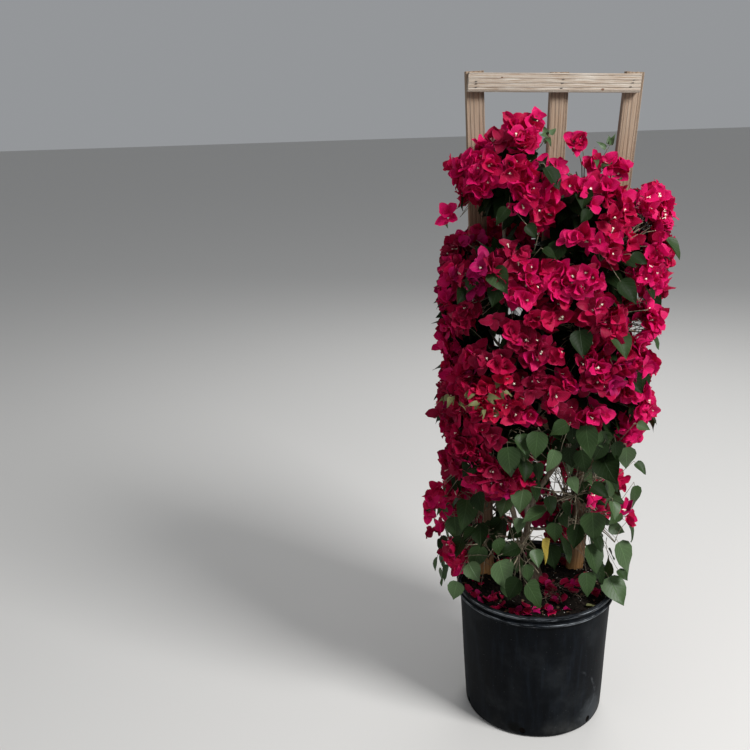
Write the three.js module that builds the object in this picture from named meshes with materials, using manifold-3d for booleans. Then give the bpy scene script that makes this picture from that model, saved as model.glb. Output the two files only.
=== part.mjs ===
// A bougainvillea in bloom, grown up a fan trellis in a nursery pot.
// Millimetres, +Z up. The origin is the middle of the pot's flat underside, and -Y is the front.
// The pot is full of bark mix. One short trunk leaves it, three canes climb the front of the trellis,
// and a side bough leads from a cane to each mass of the crown.
import * as THREE from "three";
import { mergeVertices } from "three/addons/utils/BufferGeometryUtils.js";
import Module from "manifold-3d";

const wasm = await Module();
wasm.setup();

// Driving dimensions
const GAP = 0.3; // between pieces that touch
const CLEAR = 1.5; // between foliage and the limbs and boards that it grows round

const POT_HEIGHT = 330;
const POT_TOP_R = 177.5;
const POT_BASE_R = 161.5;
const POT_WALL = 2.5;
const POT_FLOOR = 3;
const POT_CORNER = 9;
const LIP_OUT = 6.5; // how far the two rings of the rim stand out
const LIP_HEIGHT = 11;
const LIP_GROOVE = 6; // between them
const LIP_DROP = 2; // from the pot's top to its inner edge
const POT_SIDES = 36;
const DRAIN_HOLES = 6;
const DRAIN_HOLE_R = 7;
const DRAIN_HOLE_STRETCH = 1.3;
const DRAIN_HOLE_Z = 17;
const DRAIN_HOLE_DEEP = 40;
const DRAIN_HOLE_SIDES = 8;
const DRAIN_HOLE_TURN = 42.5; // degrees from the front, towards +X, to the first hole

const SOIL_TOP = 313; // of the flat middle, where the trunk stands
const SOIL_EDGE = 306;
const SOIL_FLAT_R = 70;
const SOIL_ROUND = 22; // how far in from the wall the soil starts to level off

const BOARD_WIDTH = 38;
const BOARD_THICK = 19;
const TRELLIS_X = 1; // the fan's foot, at the soil
const TRELLIS_Y = 58; // where the rails meet the uprights
const TRELLIS_TURN = 3; // degrees about Z, the right-hand side to the back
const TRELLIS_LEAN = 1.5; // degrees towards +X
const TRELLIS_TOP = 1466;
const TRELLIS_FOOT = 105; // how far down the legs are pushed into the soil
const FAN_FOOT_HALF = 109; // from the middle to an outer upright's centre line, at the soil
const FAN_TOP_HALF = 168.5; // and at the top
const UPRIGHT_TOPS = { left: 2, middle: -1, right: -1 }; // over or under the trellis's top
const MIDDLE_OFFSET = 10; // the middle upright stands this far to the right of the middle
const RAIL_HEIGHTS = { top: 1444, middle: 1075, bottom: 705 };
const RAIL_OVERHANG = 12.5; // past an outer upright's centre line
const RAIL_OFFSET = -5;
const RAIL_SLOPE = 0.6; // degrees that the right-hand end of a rail droops

const TRUNK = { from: 11, to: 8.5, flare: 10, sides: 9, rings: 6 };
const CANE = { to: 3.5, sides: 6, rings: 13 };
const CANE_FOOT_R = { left: 7, middle: 5.5, right: 7.5 };
const CANE_OFF = 14; // from the front of the rails to a cane's middle
const CANE_INSET = 50; // from an upright's centre line
const CANE_TOP = 1210;
const CANE_ROOM = 28; // that a core leaves free in front of the rails
const BOUGH = { from: 4, to: 2.8, sides: 5, rings: 3 };
const BOUGH_SAG = 0.1; // of its length
const BOUGH_END = 0.78; // how far out in a mass its bough ends
const STEM = { from: 2.8, to: 2, sides: 3, rings: 1 };
const TWIG = { from: 2, to: 1.2, sides: 3, rings: 1 };
const TWIG_ARCH = 10;
const TWIG_TIP = 0.62; // how far out in a mass the shortest twig's tip is
const TAPER = 0.8; // below 1, a limb thins faster near its foot
const FLARE_FADE = 9;

const CROWN_X = 6; // the upright axis that blossoms face away from
const CROWN_Y = 18;
const CORE_SHARE = 0.68; // size of a dense mass's core, as a share of its space
const CORE_ROUGH = 0.16; // how unevenly round it is
const CORE_MARGIN = 0.03; // how much nearer its own centre than a neighbour's a core's corner stays
const BRACT = { length: 60, width: 56, thick: 3.2 };
const BRACT_OPEN = 48; // degrees from a bloom's axis to each of its three bracts
const BLOOM_SINK = 6; // into the core
const BLOOM_ROOM = 47; // from a bloom's root to the limit of its mass's space, at least
const BLOOM_TRIES = 38; // blooms that the rule tries all round a mass
const LEAF = { length: 88, width: 66, thick: 3.2 };
const LEAF_PLACES = [0.36, 0.66, 0.96]; // along its twig
const LEAF_SINK = 4;
const LEAF_SPREAD = 0.7; // radians that leaves turn to either side of the way out
const TWIG_TRIES = 9; // twigs that the rule tries in an open mass
const WIDEST = 0.42; // where a leaf is widest, as a share of its length
const SPRAY_SEED = 4021;
const SEED_STEP = 7919;
const GOLDEN_ANGLE = Math.PI * (3 - Math.sqrt(5));

const COLOURS = {
  plastic: { color: 0x1b1e22, roughness: 0.55 },
  soil: { color: 0x2b1f17, roughness: 1 },
  pine: { color: 0xc3a07c, roughness: 0.8 },
  bark: { color: 0x7a6552, roughness: 0.9 },
  bloom: { color: 0xc40a50, roughness: 0.65 },
  leaf: { color: 0x2f4a30, roughness: 0.6 },
};

const root = new THREE.Group();
const rooms = []; // the room that the pot and each limb and board take, which foliage keeps clear of

const vec = (x, y, z) => new THREE.Vector3(x, y, z);
const radians = THREE.MathUtils.degToRad;

// A closed three.js geometry as a solid, and a solid as a geometry.
function solidOf(geometry) {
  const bare = new THREE.BufferGeometry();
  const flat = geometry.index ? geometry.toNonIndexed() : geometry;
  bare.setAttribute("position", flat.getAttribute("position"));
  const merged = mergeVertices(bare, 1e-3);
  const mesh = new wasm.Mesh({
    numProp: 3,
    vertProperties: merged.attributes.position.array,
    triVerts: new Uint32Array(merged.index.array),
  });
  return new wasm.Manifold(mesh);
}

function geometryOf(solid) {
  const mesh = solid.getMesh();
  const positions = new Float32Array(mesh.numVert * 3);
  for (let i = 0; i < mesh.numVert; i += 1) {
    positions.set(mesh.vertProperties.subarray(i * mesh.numProp, i * mesh.numProp + 3), i * 3);
  }
  const geometry = new THREE.BufferGeometry();
  geometry.setAttribute("position", new THREE.BufferAttribute(positions, 3));
  geometry.setIndex(new THREE.BufferAttribute(mesh.triVerts, 1));
  geometry.computeVertexNormals();
  return geometry;
}

const joined = (solids) => solids.reduce((whole, piece) => whole.add(piece));

function largest(solid) {
  return solid.decompose().reduce((best, one) => (one.volume() > best.volume() ? one : best));
}

function addMesh(name, geometry, colour) {
  const material = new THREE.MeshStandardMaterial({ ...COLOURS[colour], flatShading: true });
  const mesh = new THREE.Mesh(geometry, material);
  mesh.name = name;
  root.add(mesh);
}

// The same sequence of numbers from 0 to 1 for the same seed.
function seeded(seed) {
  let state = seed >>> 0;
  return () => {
    state = (Math.imul(state, 1664525) + 1013904223) >>> 0;
    return state / 4294967296;
  };
}

// Pot

const POT_SLOPE = (POT_TOP_R - POT_BASE_R) / POT_HEIGHT;
const outsideAt = (z) => POT_BASE_R + POT_SLOPE * z;
const insideAt = (z) => outsideAt(z) - POT_WALL;

// One of the rim's two rings, from its lower edge upwards.
function lipRing(top) {
  const bulge = [
    [1, 0.75],
    [1, 0.25],
  ];
  const foot = [outsideAt(top - LIP_HEIGHT), top - LIP_HEIGHT];
  return [foot, ...bulge.map(([out, down]) => [outsideAt(top) + LIP_OUT * out, top - LIP_HEIGHT * down])];
}

function potProfile() {
  const lowerTop = POT_HEIGHT - LIP_HEIGHT - LIP_GROOVE;
  const corner = [0, 0.5, 1].map((share) => {
    const turn = (share * Math.PI) / 2;
    return [
      POT_BASE_R - POT_CORNER * (1 - Math.sin(turn)),
      POT_CORNER * (1 - Math.cos(turn)),
    ];
  });
  return [
    [0, 0],
    ...corner,
    ...lipRing(lowerTop),
    [outsideAt(lowerTop), lowerTop],
    ...lipRing(POT_HEIGHT),
    [POT_TOP_R, POT_HEIGHT],
    [insideAt(POT_HEIGHT - LIP_DROP), POT_HEIGHT - LIP_DROP],
    [insideAt(POT_FLOOR), POT_FLOOR],
    [0, POT_FLOOR],
  ];
}

function lathe(profile) {
  const points = profile.map(([r, z]) => new THREE.Vector2(r, z));
  return new THREE.LatheGeometry(points, POT_SIDES).rotateX(Math.PI / 2);
}

function makePot() {
  let pot = solidOf(lathe(potProfile()));
  for (let i = 0; i < DRAIN_HOLES; i += 1) {
    const turn = radians(DRAIN_HOLE_TURN + (360 / DRAIN_HOLES) * i);
    const cutter = new THREE.CylinderGeometry(DRAIN_HOLE_R, DRAIN_HOLE_R, DRAIN_HOLE_DEEP, DRAIN_HOLE_SIDES)
      .scale(1, 1, DRAIN_HOLE_STRETCH)
      .translate(0, -POT_BASE_R, DRAIN_HOLE_Z)
      .rotateZ(turn);
    pot = pot.subtract(solidOf(cutter));
  }
  addMesh("pot", geometryOf(pot), "plastic");
  const reach = POT_TOP_R + LIP_OUT + CLEAR;
  const room = new THREE.CylinderGeometry(reach, reach, POT_HEIGHT + CLEAR, POT_SIDES)
    .rotateX(Math.PI / 2)
    .translate(0, 0, (POT_HEIGHT + CLEAR) / 2);
  rooms.push(solidOf(room));
}

function makeSoil(legs) {
  const foot = POT_FLOOR + GAP;
  const profile = [
    [0, foot],
    [insideAt(foot) - GAP, foot],
    [insideAt(SOIL_EDGE) - GAP, SOIL_EDGE],
    [insideAt(SOIL_EDGE) - SOIL_ROUND, (SOIL_EDGE + SOIL_TOP) / 2],
    [SOIL_FLAT_R, SOIL_TOP],
    [0, SOIL_TOP],
  ];
  const soil = solidOf(lathe(profile)).subtract(joined(legs));
  addMesh("soil", geometryOf(soil), "soil");
}

// Trellis: three fanned uprights, with rails nailed to their front

const fanHalfAt = (z) =>
  THREE.MathUtils.mapLinear(z, SOIL_TOP, TRELLIS_TOP, FAN_FOOT_HALF, FAN_TOP_HALF);

function uprightGeometry(name, side, foot, swell) {
  const top = TRELLIS_TOP + UPRIGHT_TOPS[name];
  const tilt = Math.atan((side * (FAN_TOP_HALF - FAN_FOOT_HALF)) / (TRELLIS_TOP - SOIL_TOP));
  const middle = (top + foot) / 2;
  const offset = side === 0 ? MIDDLE_OFFSET : side * fanHalfAt(middle);
  return new THREE.BoxGeometry(
    BOARD_WIDTH + 2 * swell,
    BOARD_THICK + 2 * swell,
    (top - foot) / Math.cos(tilt) + 2 * swell,
  )
    .rotateY(tilt)
    .translate(offset, BOARD_THICK / 2 + GAP, middle);
}

function railGeometry(height, swell) {
  return new THREE.BoxGeometry(
    2 * (fanHalfAt(height) + RAIL_OVERHANG + swell),
    BOARD_THICK + 2 * swell,
    BOARD_WIDTH + 2 * swell,
  )
    .rotateY(radians(RAIL_SLOPE))
    .translate(RAIL_OFFSET, -BOARD_THICK / 2, height);
}

// Turns a board or a place of the upright trellis into the leaning one's.
const trellisPlace = new THREE.Matrix4()
  .makeTranslation(TRELLIS_X, TRELLIS_Y, SOIL_TOP)
  .multiply(new THREE.Matrix4().makeRotationZ(radians(TRELLIS_TURN)))
  .multiply(new THREE.Matrix4().makeRotationY(radians(TRELLIS_LEAN)))
  .multiply(new THREE.Matrix4().makeTranslation(0, 0, -SOIL_TOP));
const leaned = (shape) => shape.applyMatrix4(trellisPlace);
const upright = (point) => point.clone().applyMatrix4(trellisPlace.clone().invert());

function makeTrellis() {
  const legs = [];
  const sides = { left: -1, middle: 0, right: 1 };
  const middleFoot = RAIL_HEIGHTS.bottom - BOARD_WIDTH / 2;
  for (const [name, side] of Object.entries(sides)) {
    const foot = side === 0 ? middleFoot : TRELLIS_FOOT;
    addMesh(`trellis_upright_${name}`, leaned(uprightGeometry(name, side, foot, 0)), "pine");
    rooms.push(solidOf(leaned(uprightGeometry(name, side, foot, CLEAR))));
    if (side !== 0) legs.push(solidOf(leaned(uprightGeometry(name, side, foot, GAP))));
  }
  for (const [name, height] of Object.entries(RAIL_HEIGHTS)) {
    addMesh(`trellis_rail_${name}`, leaned(railGeometry(height, 0)), "pine");
    rooms.push(solidOf(leaned(railGeometry(height, CLEAR))));
  }
  return legs;
}

// Limbs

// A tapering limb: a cylinder bent along a smooth curve through the route's points.
function limbGeometry({ route, from, to, sides, rings, flare = 0 }, swell = 0) {
  const curve = new THREE.CatmullRomCurve3(route, false, "centripetal");
  const frames = curve.computeFrenetFrames(rings, false);
  const geometry = new THREE.CylinderGeometry(1, 1, 1, sides, rings);
  const places = geometry.getAttribute("position");
  for (let i = 0; i < places.count; i += 1) {
    const share = places.getY(i) + 0.5;
    const ring = Math.round(share * rings);
    const thinned = from + (to - from) * share ** TAPER;
    const radius = thinned + flare * Math.exp(-FLARE_FADE * share) + swell;
    const point = curve
      .getPointAt(share)
      .addScaledVector(frames.normals[ring], radius * places.getX(i))
      .addScaledVector(frames.binormals[ring], -radius * places.getZ(i))
      .addScaledVector(frames.tangents[ring], swell * (2 * share - 1));
    places.setXYZ(i, point.x, point.y, point.z);
  }
  return geometry;
}

// A limb cut clear of those that it grows from or passes, which joins the list of things to keep clear of.
function makeLimb(name, shape, parents) {
  const cutters = parents.map((parent) => solidOf(limbGeometry(parent, GAP)));
  const whole = solidOf(limbGeometry(shape));
  const cut = cutters.reduce((limb, cutter) => limb.subtract(cutter), whole);
  addMesh(name, geometryOf(largest(cut)), "bark");
  rooms.push(solidOf(limbGeometry(shape, CLEAR)));
  return shape;
}

function makeTrunk() {
  const foot = SOIL_TOP + GAP;
  const shape = { ...TRUNK, route: [vec(4, 17, foot), vec(3, 17, 336), vec(-4, 19, 376), vec(-24, 22, 428)] };
  const geometry = limbGeometry(shape);
  const places = geometry.getAttribute("position");
  for (let i = 0; i < places.count; i += 1) {
    places.setZ(i, Math.max(places.getZ(i), foot));
  }
  addMesh("trunk", geometryOf(solidOf(geometry)), "bark");
  rooms.push(solidOf(limbGeometry(shape, CLEAR)));
  return shape;
}

// A place beside an upright's edge, just in front of the rails.
function beside(side, z) {
  return leaned(vec(side * (fanHalfAt(z) - CANE_INSET), -BOARD_THICK - CANE_OFF, z));
}

// The canes leave the trunk's fork, swing out towards the uprights and climb beside them.
function makeCanes(trunk) {
  const fork = trunk.route.at(-1);
  const fromFork = (x, z) => fork.clone().add(vec(x, -1, z));
  const right = makeLimb("cane_right", {
    ...CANE,
    from: CANE_FOOT_R.right,
    route: [
      fromFork(4, -20),
      vec(0, 22, 524),
      vec(34, 20, 588),
      vec(86, 22, 668),
      beside(1, 840),
      beside(1, 1020),
      beside(1, CANE_TOP),
    ],
  }, [trunk]);
  const left = makeLimb("cane_left", {
    ...CANE,
    from: CANE_FOOT_R.left,
    route: [
      fromFork(0, -22),
      vec(-54, 20, 500),
      vec(-78, 21, 600),
      beside(-1, 760),
      beside(-1, 980),
      beside(-1, CANE_TOP),
    ],
  }, [trunk, right]);
  const middle = makeLimb("cane_middle", {
    ...CANE,
    from: CANE_FOOT_R.middle,
    route: [
      vec(-16, 20, 474),
      vec(-22, 10, 540),
      vec(-10, 18, 640),
      beside(0, 800),
      beside(0, 1110),
    ],
  }, [trunk, right, left]);
  return { left, right, middle, trunk };
}

// The crown's masses

// Each mass stands on the left and on the right of the crown. Where a size is a pair, its first number is the
// left-hand one's. x, y and z are a mass's centre, half is half the width, depth and height of the space that
// it keeps to, and bough is how high its bough leaves the cane. leftHalf is half the left-hand one's width where
// that differs.
const DENSE = {
  top: { x: [-74, 78], y: -46, z: [1268, 1220], half: [142, 112, 144], leftHalf: 130, bough: [1136, 1098] },
  front_upper: { x: [-72, 88], y: -80, z: [1056, 1094], half: [158, 124, 158], leftHalf: 145, bough: [960, 1012] },
  front_middle: { x: [-70, 82], y: -84, z: [886, 946], half: [160, 124, 154], leftHalf: 149, bough: [790, 850] },
  front_lower: { x: [-88, 78], y: -80, z: [718, 806], half: [158, 122, 154], leftHalf: 138, bough: [600, 704] },
  side_upper: { x: [-152, 198], y: 42, z: [984, 1112], half: [92, 122, 178], leftHalf: 66, bough: [880, 984] },
  side_lower: { x: [-150, 176], y: 38, z: [698, 800], half: [92, 122, 196], leftHalf: 72, bough: [626, 676] },
  back_upper: { x: [-72, 88], y: 154, z: [990, 1060], half: [154, 106, 206], leftHalf: 127, bough: [908, 948] },
  back_lower: { x: [-80, 80], y: 156, z: [704, 742], half: [154, 106, 206], leftHalf: 128, bough: [652, 648] },
};

// The open masses are the crown's leafy skirt.
const OPEN = {
  low_front: { x: [-152, 126], y: -34, z: [450, 490], half: [100, 122, 176], leftHalf: 104, bough: [430, 444] },
  low_middle: { x: [-52, 74], y: -92, z: [430, 580], half: [90, 100, 124], bough: [490, 504] },
  low_back: { x: [-98, 106], y: 152, z: [452, 470], half: [126, 108, 160], bough: [460, 474] },
};

function crownMasses() {
  const list = [];
  for (const [forms, leafy] of [[DENSE, false], [OPEN, true]]) {
    for (const [kind, form] of Object.entries(forms)) {
      for (const [i, side] of ["left", "right"].entries()) {
        list.push({
          place: `${kind}_${side}`,
          side: 2 * i - 1,
          centre: vec(form.x[i], form.y, form.z[i]),
          size: vec((i === 0 && form.leftHalf) || form.half[0], form.half[1], form.half[2]),
          boughFoot: form.bough[i],
          seed: SPRAY_SEED + SEED_STEP * list.length,
          leafy,
        });
      }
    }
  }
  return list;
}

const masses = crownMasses();

// How far out a point is in a mass's space: 0 at its centre and 1 at its limit.
function outness(mass, point) {
  return point.clone().sub(mass.centre).divide(mass.size).length();
}

// True where a point is in a mass's own space, nearer to its centre than to any neighbour's.
function ownSpace(mass, point, margin) {
  const own = outness(mass, point);
  return own <= 1 && masses.every((other) => other === mass || own + margin <= outness(other, point));
}

// The direction of spray k: even over the sphere, with some seeded disorder.
function sprayDirection(k, tries, random) {
  const height = 1 - (2 * (k + 0.5)) / tries + 0.12 * (random() - 0.5);
  const turn = k * GOLDEN_ANGLE + 0.5 * (random() - 0.5);
  const level = Math.sqrt(Math.max(0, 1 - height * height));
  return vec(level * Math.cos(turn), level * Math.sin(turn), height);
}

// A flat plate of eight faces with its root at the origin, along +X, widest nearer to its root.
function plate({ length, width, thick }) {
  const geometry = new THREE.OctahedronGeometry(1, 0);
  const places = geometry.getAttribute("position");
  for (let i = 0; i < places.count; i += 1) {
    const x = places.getX(i);
    const along = Math.abs(x) > 0.5 ? (x > 0 ? length : 0) : length * WIDEST;
    places.setXYZ(i, along, (places.getY(i) * width) / 2, (places.getZ(i) * thick) / 2);
  }
  return geometry;
}

// Points a plate's +X along a direction, with its flat side facing another, and puts its root in place.
function placed(geometry, at, along, facing) {
  const x = along.clone().normalize();
  const y = facing.clone().cross(x).normalize();
  const z = x.clone().cross(y);
  return geometry.applyMatrix4(new THREE.Matrix4().makeBasis(x, y, z).setPosition(at));
}

// Three bracts that open round an axis.
function bloomPlates(at, axis, turn) {
  const side = Math.abs(axis.z) < 0.9 ? vec(0, 0, 1) : vec(1, 0, 0);
  const across = side.cross(axis).normalize();
  return [0, 1, 2].map((i) => {
    const out = across.clone().applyAxisAngle(axis, turn + (i * 2 * Math.PI) / 3);
    const open = radians(BRACT_OPEN);
    const along = axis.clone().multiplyScalar(Math.cos(open)).addScaledVector(out, Math.sin(open));
    return placed(plate(BRACT), at, along, axis);
  });
}

// True where a leaf keeps to its mass's space, and clear of the limbs and of the masses already grown.
function fits(mass, geometry, taken) {
  const places = geometry.getAttribute("position");
  for (let i = 0; i < places.count; i += 1) {
    if (!ownSpace(mass, vec(places.getX(i), places.getY(i), places.getZ(i)), 0)) return false;
  }
  return taken.intersect(solidOf(geometry)).isEmpty();
}

// True on a mass's own side of the canes and boards, where its core stays.
function onCoreSide(mass, point) {
  const place = upright(point);
  if (mass.place.includes("back")) return place.y >= BOARD_THICK + GAP + CLEAR;
  if (mass.place.includes("side")) {
    return mass.side * place.x >= fanHalfAt(place.z) + BOARD_WIDTH / 2 + CLEAR;
  }
  return place.y <= -BOARD_THICK - CANE_ROOM;
}

// A dense mass's core: a rough ball inside the mass's own space.
function coreSolid(mass, random) {
  const bare = new THREE.BufferGeometry();
  bare.setAttribute("position", new THREE.IcosahedronGeometry(1, 1).getAttribute("position"));
  const ball = mergeVertices(bare, 1e-3);
  const places = ball.getAttribute("position");
  for (let i = 0; i < places.count; i += 1) {
    const ray = vec(places.getX(i), places.getY(i), places.getZ(i)).normalize().multiply(mass.size);
    const at = (share) => mass.centre.clone().addScaledVector(ray, share);
    const allowed = (share) => ownSpace(mass, at(share), CORE_MARGIN) && onCoreSide(mass, at(share));
    let share = CORE_SHARE * (1 + CORE_ROUGH * (random() - 0.5));
    while (share > 0.1 && !allowed(share)) share -= 0.02;
    const point = at(share);
    places.setXYZ(i, point.x, point.y, point.z);
  }
  return solidOf(ball);
}

// The bough that leads from a cane to a mass ends where it enters the mass. Its tip is returned.
function makeBough(mass, canes) {
  const cane = mass.side < 0 ? canes.left : canes.right;
  const places = new THREE.CatmullRomCurve3(cane.route, false, "centripetal").getSpacedPoints(200);
  const offBy = (point) => Math.abs(point.z - mass.boughFoot);
  const start = places.reduce((best, point) => (offBy(point) < offBy(best) ? point : best));
  const outward = start.clone().sub(mass.centre);
  const tip = mass.centre.clone().addScaledVector(outward, BOUGH_END / outness(mass, start));
  const bend = start.clone().lerp(tip, 0.5).add(vec(0, 0, -BOUGH_SAG * start.distanceTo(tip)));
  makeLimb(`bough_${mass.place}`, { ...BOUGH, route: [start, bend, tip] }, Object.values(canes));
  return tip;
}

// True where a direction from a mass's centre leads out of the crown, and not into a neighbour.
function showsOutside(mass, direction) {
  const out = vec(mass.centre.x - CROWN_X, mass.centre.y - CROWN_Y, 0).normalize();
  return direction.dot(out) > -0.1;
}

// A spray of a dense mass shows as one bloom that stands out of the core.
function bloomSpray(mass, direction, turn, reach, taken) {
  if (!showsOutside(mass, direction)) return [];
  const ray = direction.clone().multiply(mass.size);
  const room = 1 - BLOOM_ROOM / ray.length();
  const share = Math.min(CORE_SHARE * (0.94 + 0.1 * reach) - BLOOM_SINK / ray.length(), room);
  const at = mass.centre.clone().addScaledVector(ray, share);
  const axis = direction.clone().divide(mass.size).normalize();
  return bloomPlates(at, axis, turn).filter((one) => fits(mass, one, taken)).map(solidOf);
}

// A spray of an open mass is a twig from the stem, with leaves that hang along it and face outwards.
// A leaf that would cross another is skipped too.
function leafySpray(mass, direction, turn, reach, taken, stem, grown) {
  const from = stem.route[0].clone().lerp(stem.route[1], 0.3 + 0.65 * reach);
  const tipShare = TWIG_TIP + 0.16 * reach;
  const tip = mass.centre.clone().add(direction.clone().multiply(mass.size).multiplyScalar(tipShare));
  const route = [from, from.clone().lerp(tip, 0.5).add(vec(0, 0, TWIG_ARCH)), tip];
  const twig = solidOf(limbGeometry({ ...TWIG, route }));
  if (!ownSpace(mass, tip, 0) || !taken.intersect(twig).isEmpty()) return [];
  const curve = new THREE.CatmullRomCurve3(route, false, "centripetal");
  const out = vec(tip.x - CROWN_X, tip.y - CROWN_Y, 0).normalize();
  const leaves = [];
  LEAF_PLACES.forEach((share, i) => {
    const side = out.clone().applyAxisAngle(vec(0, 0, 1), LEAF_SPREAD * (2 * (i % 2) - 1) + Math.sin(turn));
    const along = side.clone().setZ(-0.5 - reach).normalize();
    const at = curve.getPointAt(share).addScaledVector(along, -LEAF_SINK);
    const leaf = placed(plate(LEAF), at, along, side.clone().setZ(1));
    if (fits(mass, leaf, joined([taken, ...grown, ...leaves]))) leaves.push(solidOf(leaf));
  });
  grown.push(...leaves);
  return [twig, ...leaves];
}

// A mass's foliage, all fused to the stem that meets its bough's tip.
function growMass(mass, boughTip, taken) {
  const random = seeded(mass.seed);
  const inward = mass.centre.clone().sub(boughTip).normalize();
  const start = boughTip.clone().addScaledVector(inward, CLEAR + GAP);
  const stem = { ...STEM, route: [start, mass.centre.clone()] };
  const pieces = [solidOf(limbGeometry(stem))];
  if (!mass.leafy) pieces.push(coreSolid(mass, random));
  const tries = mass.leafy ? TWIG_TRIES : BLOOM_TRIES;
  const spray = mass.leafy ? leafySpray : bloomSpray;
  const grown = [];
  for (let k = 0; k < tries; k += 1) {
    const direction = sprayDirection(k, tries, random);
    const turn = 2 * Math.PI * random();
    const reach = random();
    pieces.push(...spray(mass, direction, turn, reach, taken, stem, grown));
  }
  return largest(joined(pieces));
}

const legs = makeTrellis();
makePot();
makeSoil(legs);
const canes = makeCanes(makeTrunk());
const boughTips = masses.map((mass) => makeBough(mass, canes));
let taken = joined(rooms);
masses.forEach((mass, i) => {
  const solid = growMass(mass, boughTips[i], taken);
  taken = taken.add(solid);
  const [kind, colour] = mass.leafy ? ["leaves", "leaf"] : ["bloom", "bloom"];
  addMesh(`${kind}_${mass.place}`, geometryOf(solid), colour);
});

export default root;
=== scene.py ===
# A bougainvillea in bloom, grown up a fan trellis in a nursery pot: what shows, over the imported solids.
# The maths is in millimetres, +Z up, in the frame of the solids. Pieces are made in metres.
import math
from functools import partialmethod

import bpy
import numpy as np
from mathutils import Matrix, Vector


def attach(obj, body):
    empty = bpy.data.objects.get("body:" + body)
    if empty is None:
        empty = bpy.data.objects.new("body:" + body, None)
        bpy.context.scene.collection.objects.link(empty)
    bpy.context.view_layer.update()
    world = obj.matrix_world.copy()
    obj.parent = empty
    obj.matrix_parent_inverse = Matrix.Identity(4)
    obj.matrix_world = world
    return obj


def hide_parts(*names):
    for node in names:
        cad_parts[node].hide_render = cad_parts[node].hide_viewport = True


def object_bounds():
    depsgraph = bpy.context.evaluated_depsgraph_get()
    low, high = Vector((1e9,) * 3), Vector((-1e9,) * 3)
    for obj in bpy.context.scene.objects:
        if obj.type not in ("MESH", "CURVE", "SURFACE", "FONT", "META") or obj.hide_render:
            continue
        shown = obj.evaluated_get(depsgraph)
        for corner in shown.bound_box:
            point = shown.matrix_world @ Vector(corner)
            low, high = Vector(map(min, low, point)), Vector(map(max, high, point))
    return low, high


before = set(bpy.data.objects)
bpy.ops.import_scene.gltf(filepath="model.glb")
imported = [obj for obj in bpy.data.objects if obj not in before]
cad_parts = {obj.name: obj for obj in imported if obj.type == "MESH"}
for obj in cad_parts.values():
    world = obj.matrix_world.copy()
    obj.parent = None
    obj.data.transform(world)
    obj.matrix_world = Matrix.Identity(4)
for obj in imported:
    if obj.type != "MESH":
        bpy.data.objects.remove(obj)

CAD_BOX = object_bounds()
MM = 0.001
NODES = sorted(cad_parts)

# Driving dimensions, as in the solids
POT_HEIGHT = 330
POT_TOP_R = 177.5
POT_BASE_R = 161.5
POT_WALL = 2.5
POT_FLOOR = 3
POT_CORNER = 9
LIP_OUT = 6.5
LIP_HEIGHT = 11
LIP_GROOVE = 6
LIP_DROP = 2
DRAIN_HOLES = 6
DRAIN_HOLE_R = 7
DRAIN_HOLE_STRETCH = 1.3
DRAIN_HOLE_Z = 17
DRAIN_HOLE_TURN = 42.5
SOIL_TOP = 313
SOIL_EDGE = 306
SOIL_FLAT_R = 70

BOARD_WIDTH = 38
BOARD_THICK = 19
TRELLIS_X = 1
TRELLIS_Y = 58
TRELLIS_TURN = 3
TRELLIS_LEAN = 1.5
TRELLIS_TOP = 1466
FAN_FOOT_HALF = 109
FAN_TOP_HALF = 168.5
UPRIGHT_TOPS = {"left": 2, "middle": -1, "right": -1}
MIDDLE_OFFSET = 10
RAIL_HEIGHTS = {"top": 1444, "middle": 1075, "bottom": 705}
RAIL_OVERHANG = 12.5
RAIL_OFFSET = -5
RAIL_SLOPE = 0.6
GAP = 0.3

TRUNK_RADII = (11, 9)
TRUNK_FLARE = 10
CANE_TO = 3.5
CANE_FOOT_R = {"left": 7, "right": 7.5, "middle": 5.5}
CANE_OFF = 14
CANE_INSET = 50
CANE_TOP = 1210
BOUGH_FROM = 4
BOUGH_TO = 2.8
BOUGH_SAG = 0.1
BOUGH_END = 0.78
STEM_RADII = (2.8, 2)
TAPER = 0.8
CROWN_X = 6
CROWN_Y = 18
CORE_CORNERS = 42  # random numbers that a dense mass's core takes first
SPRAY_SEED = 4021
SEED_STEP = 7919
SEEDS = {"mix": 11, "boards": 23, "lumps": 29, "limbs": 37, "sprigs": 57, "litter": 71, "big_leaves": 83}
GOLDEN_ANGLE = math.pi * (3 - math.sqrt(5))

# x, y and z are a mass's centre, half is half its width, depth and height, and bough is how high its bough
# leaves the cane. Where a size is a pair, its first number is the left-hand mass's.
DENSE = {
    "top": dict(x=(-74, 78), y=-46, z=(1268, 1220), half=((130, 142), 112, 144), bough=(1136, 1098)),
    "front_upper": dict(x=(-72, 88), y=-80, z=(1056, 1094), half=((145, 158), 124, 158), bough=(960, 1012)),
    "front_middle": dict(x=(-70, 82), y=-84, z=(886, 946), half=((149, 160), 124, 154), bough=(790, 850)),
    "front_lower": dict(x=(-88, 78), y=-80, z=(718, 806), half=((138, 158), 122, 154), bough=(600, 704)),
    "side_upper": dict(x=(-152, 198), y=42, z=(984, 1112), half=((66, 92), 122, 178), bough=(880, 984)),
    "side_lower": dict(x=(-150, 176), y=38, z=(698, 800), half=((72, 92), 122, 196), bough=(626, 676)),
    "back_upper": dict(x=(-72, 88), y=154, z=(990, 1060), half=((127, 154), 106, 206), bough=(908, 948)),
    "back_lower": dict(x=(-80, 80), y=156, z=(704, 742), half=((128, 154), 106, 206), bough=(652, 648)),
}
OPEN = {
    "low_front": dict(x=(-152, 126), y=-34, z=(450, 490), half=((104, 100), 122, 176), bough=(430, 444)),
    "low_middle": dict(x=(-52, 74), y=-92, z=(430, 580), half=((90, 90), 100, 124), bough=(490, 504)),
    "low_back": dict(x=(-98, 106), y=152, z=(452, 470), half=((126, 126), 108, 160), bough=(460, 474)),
}

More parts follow.
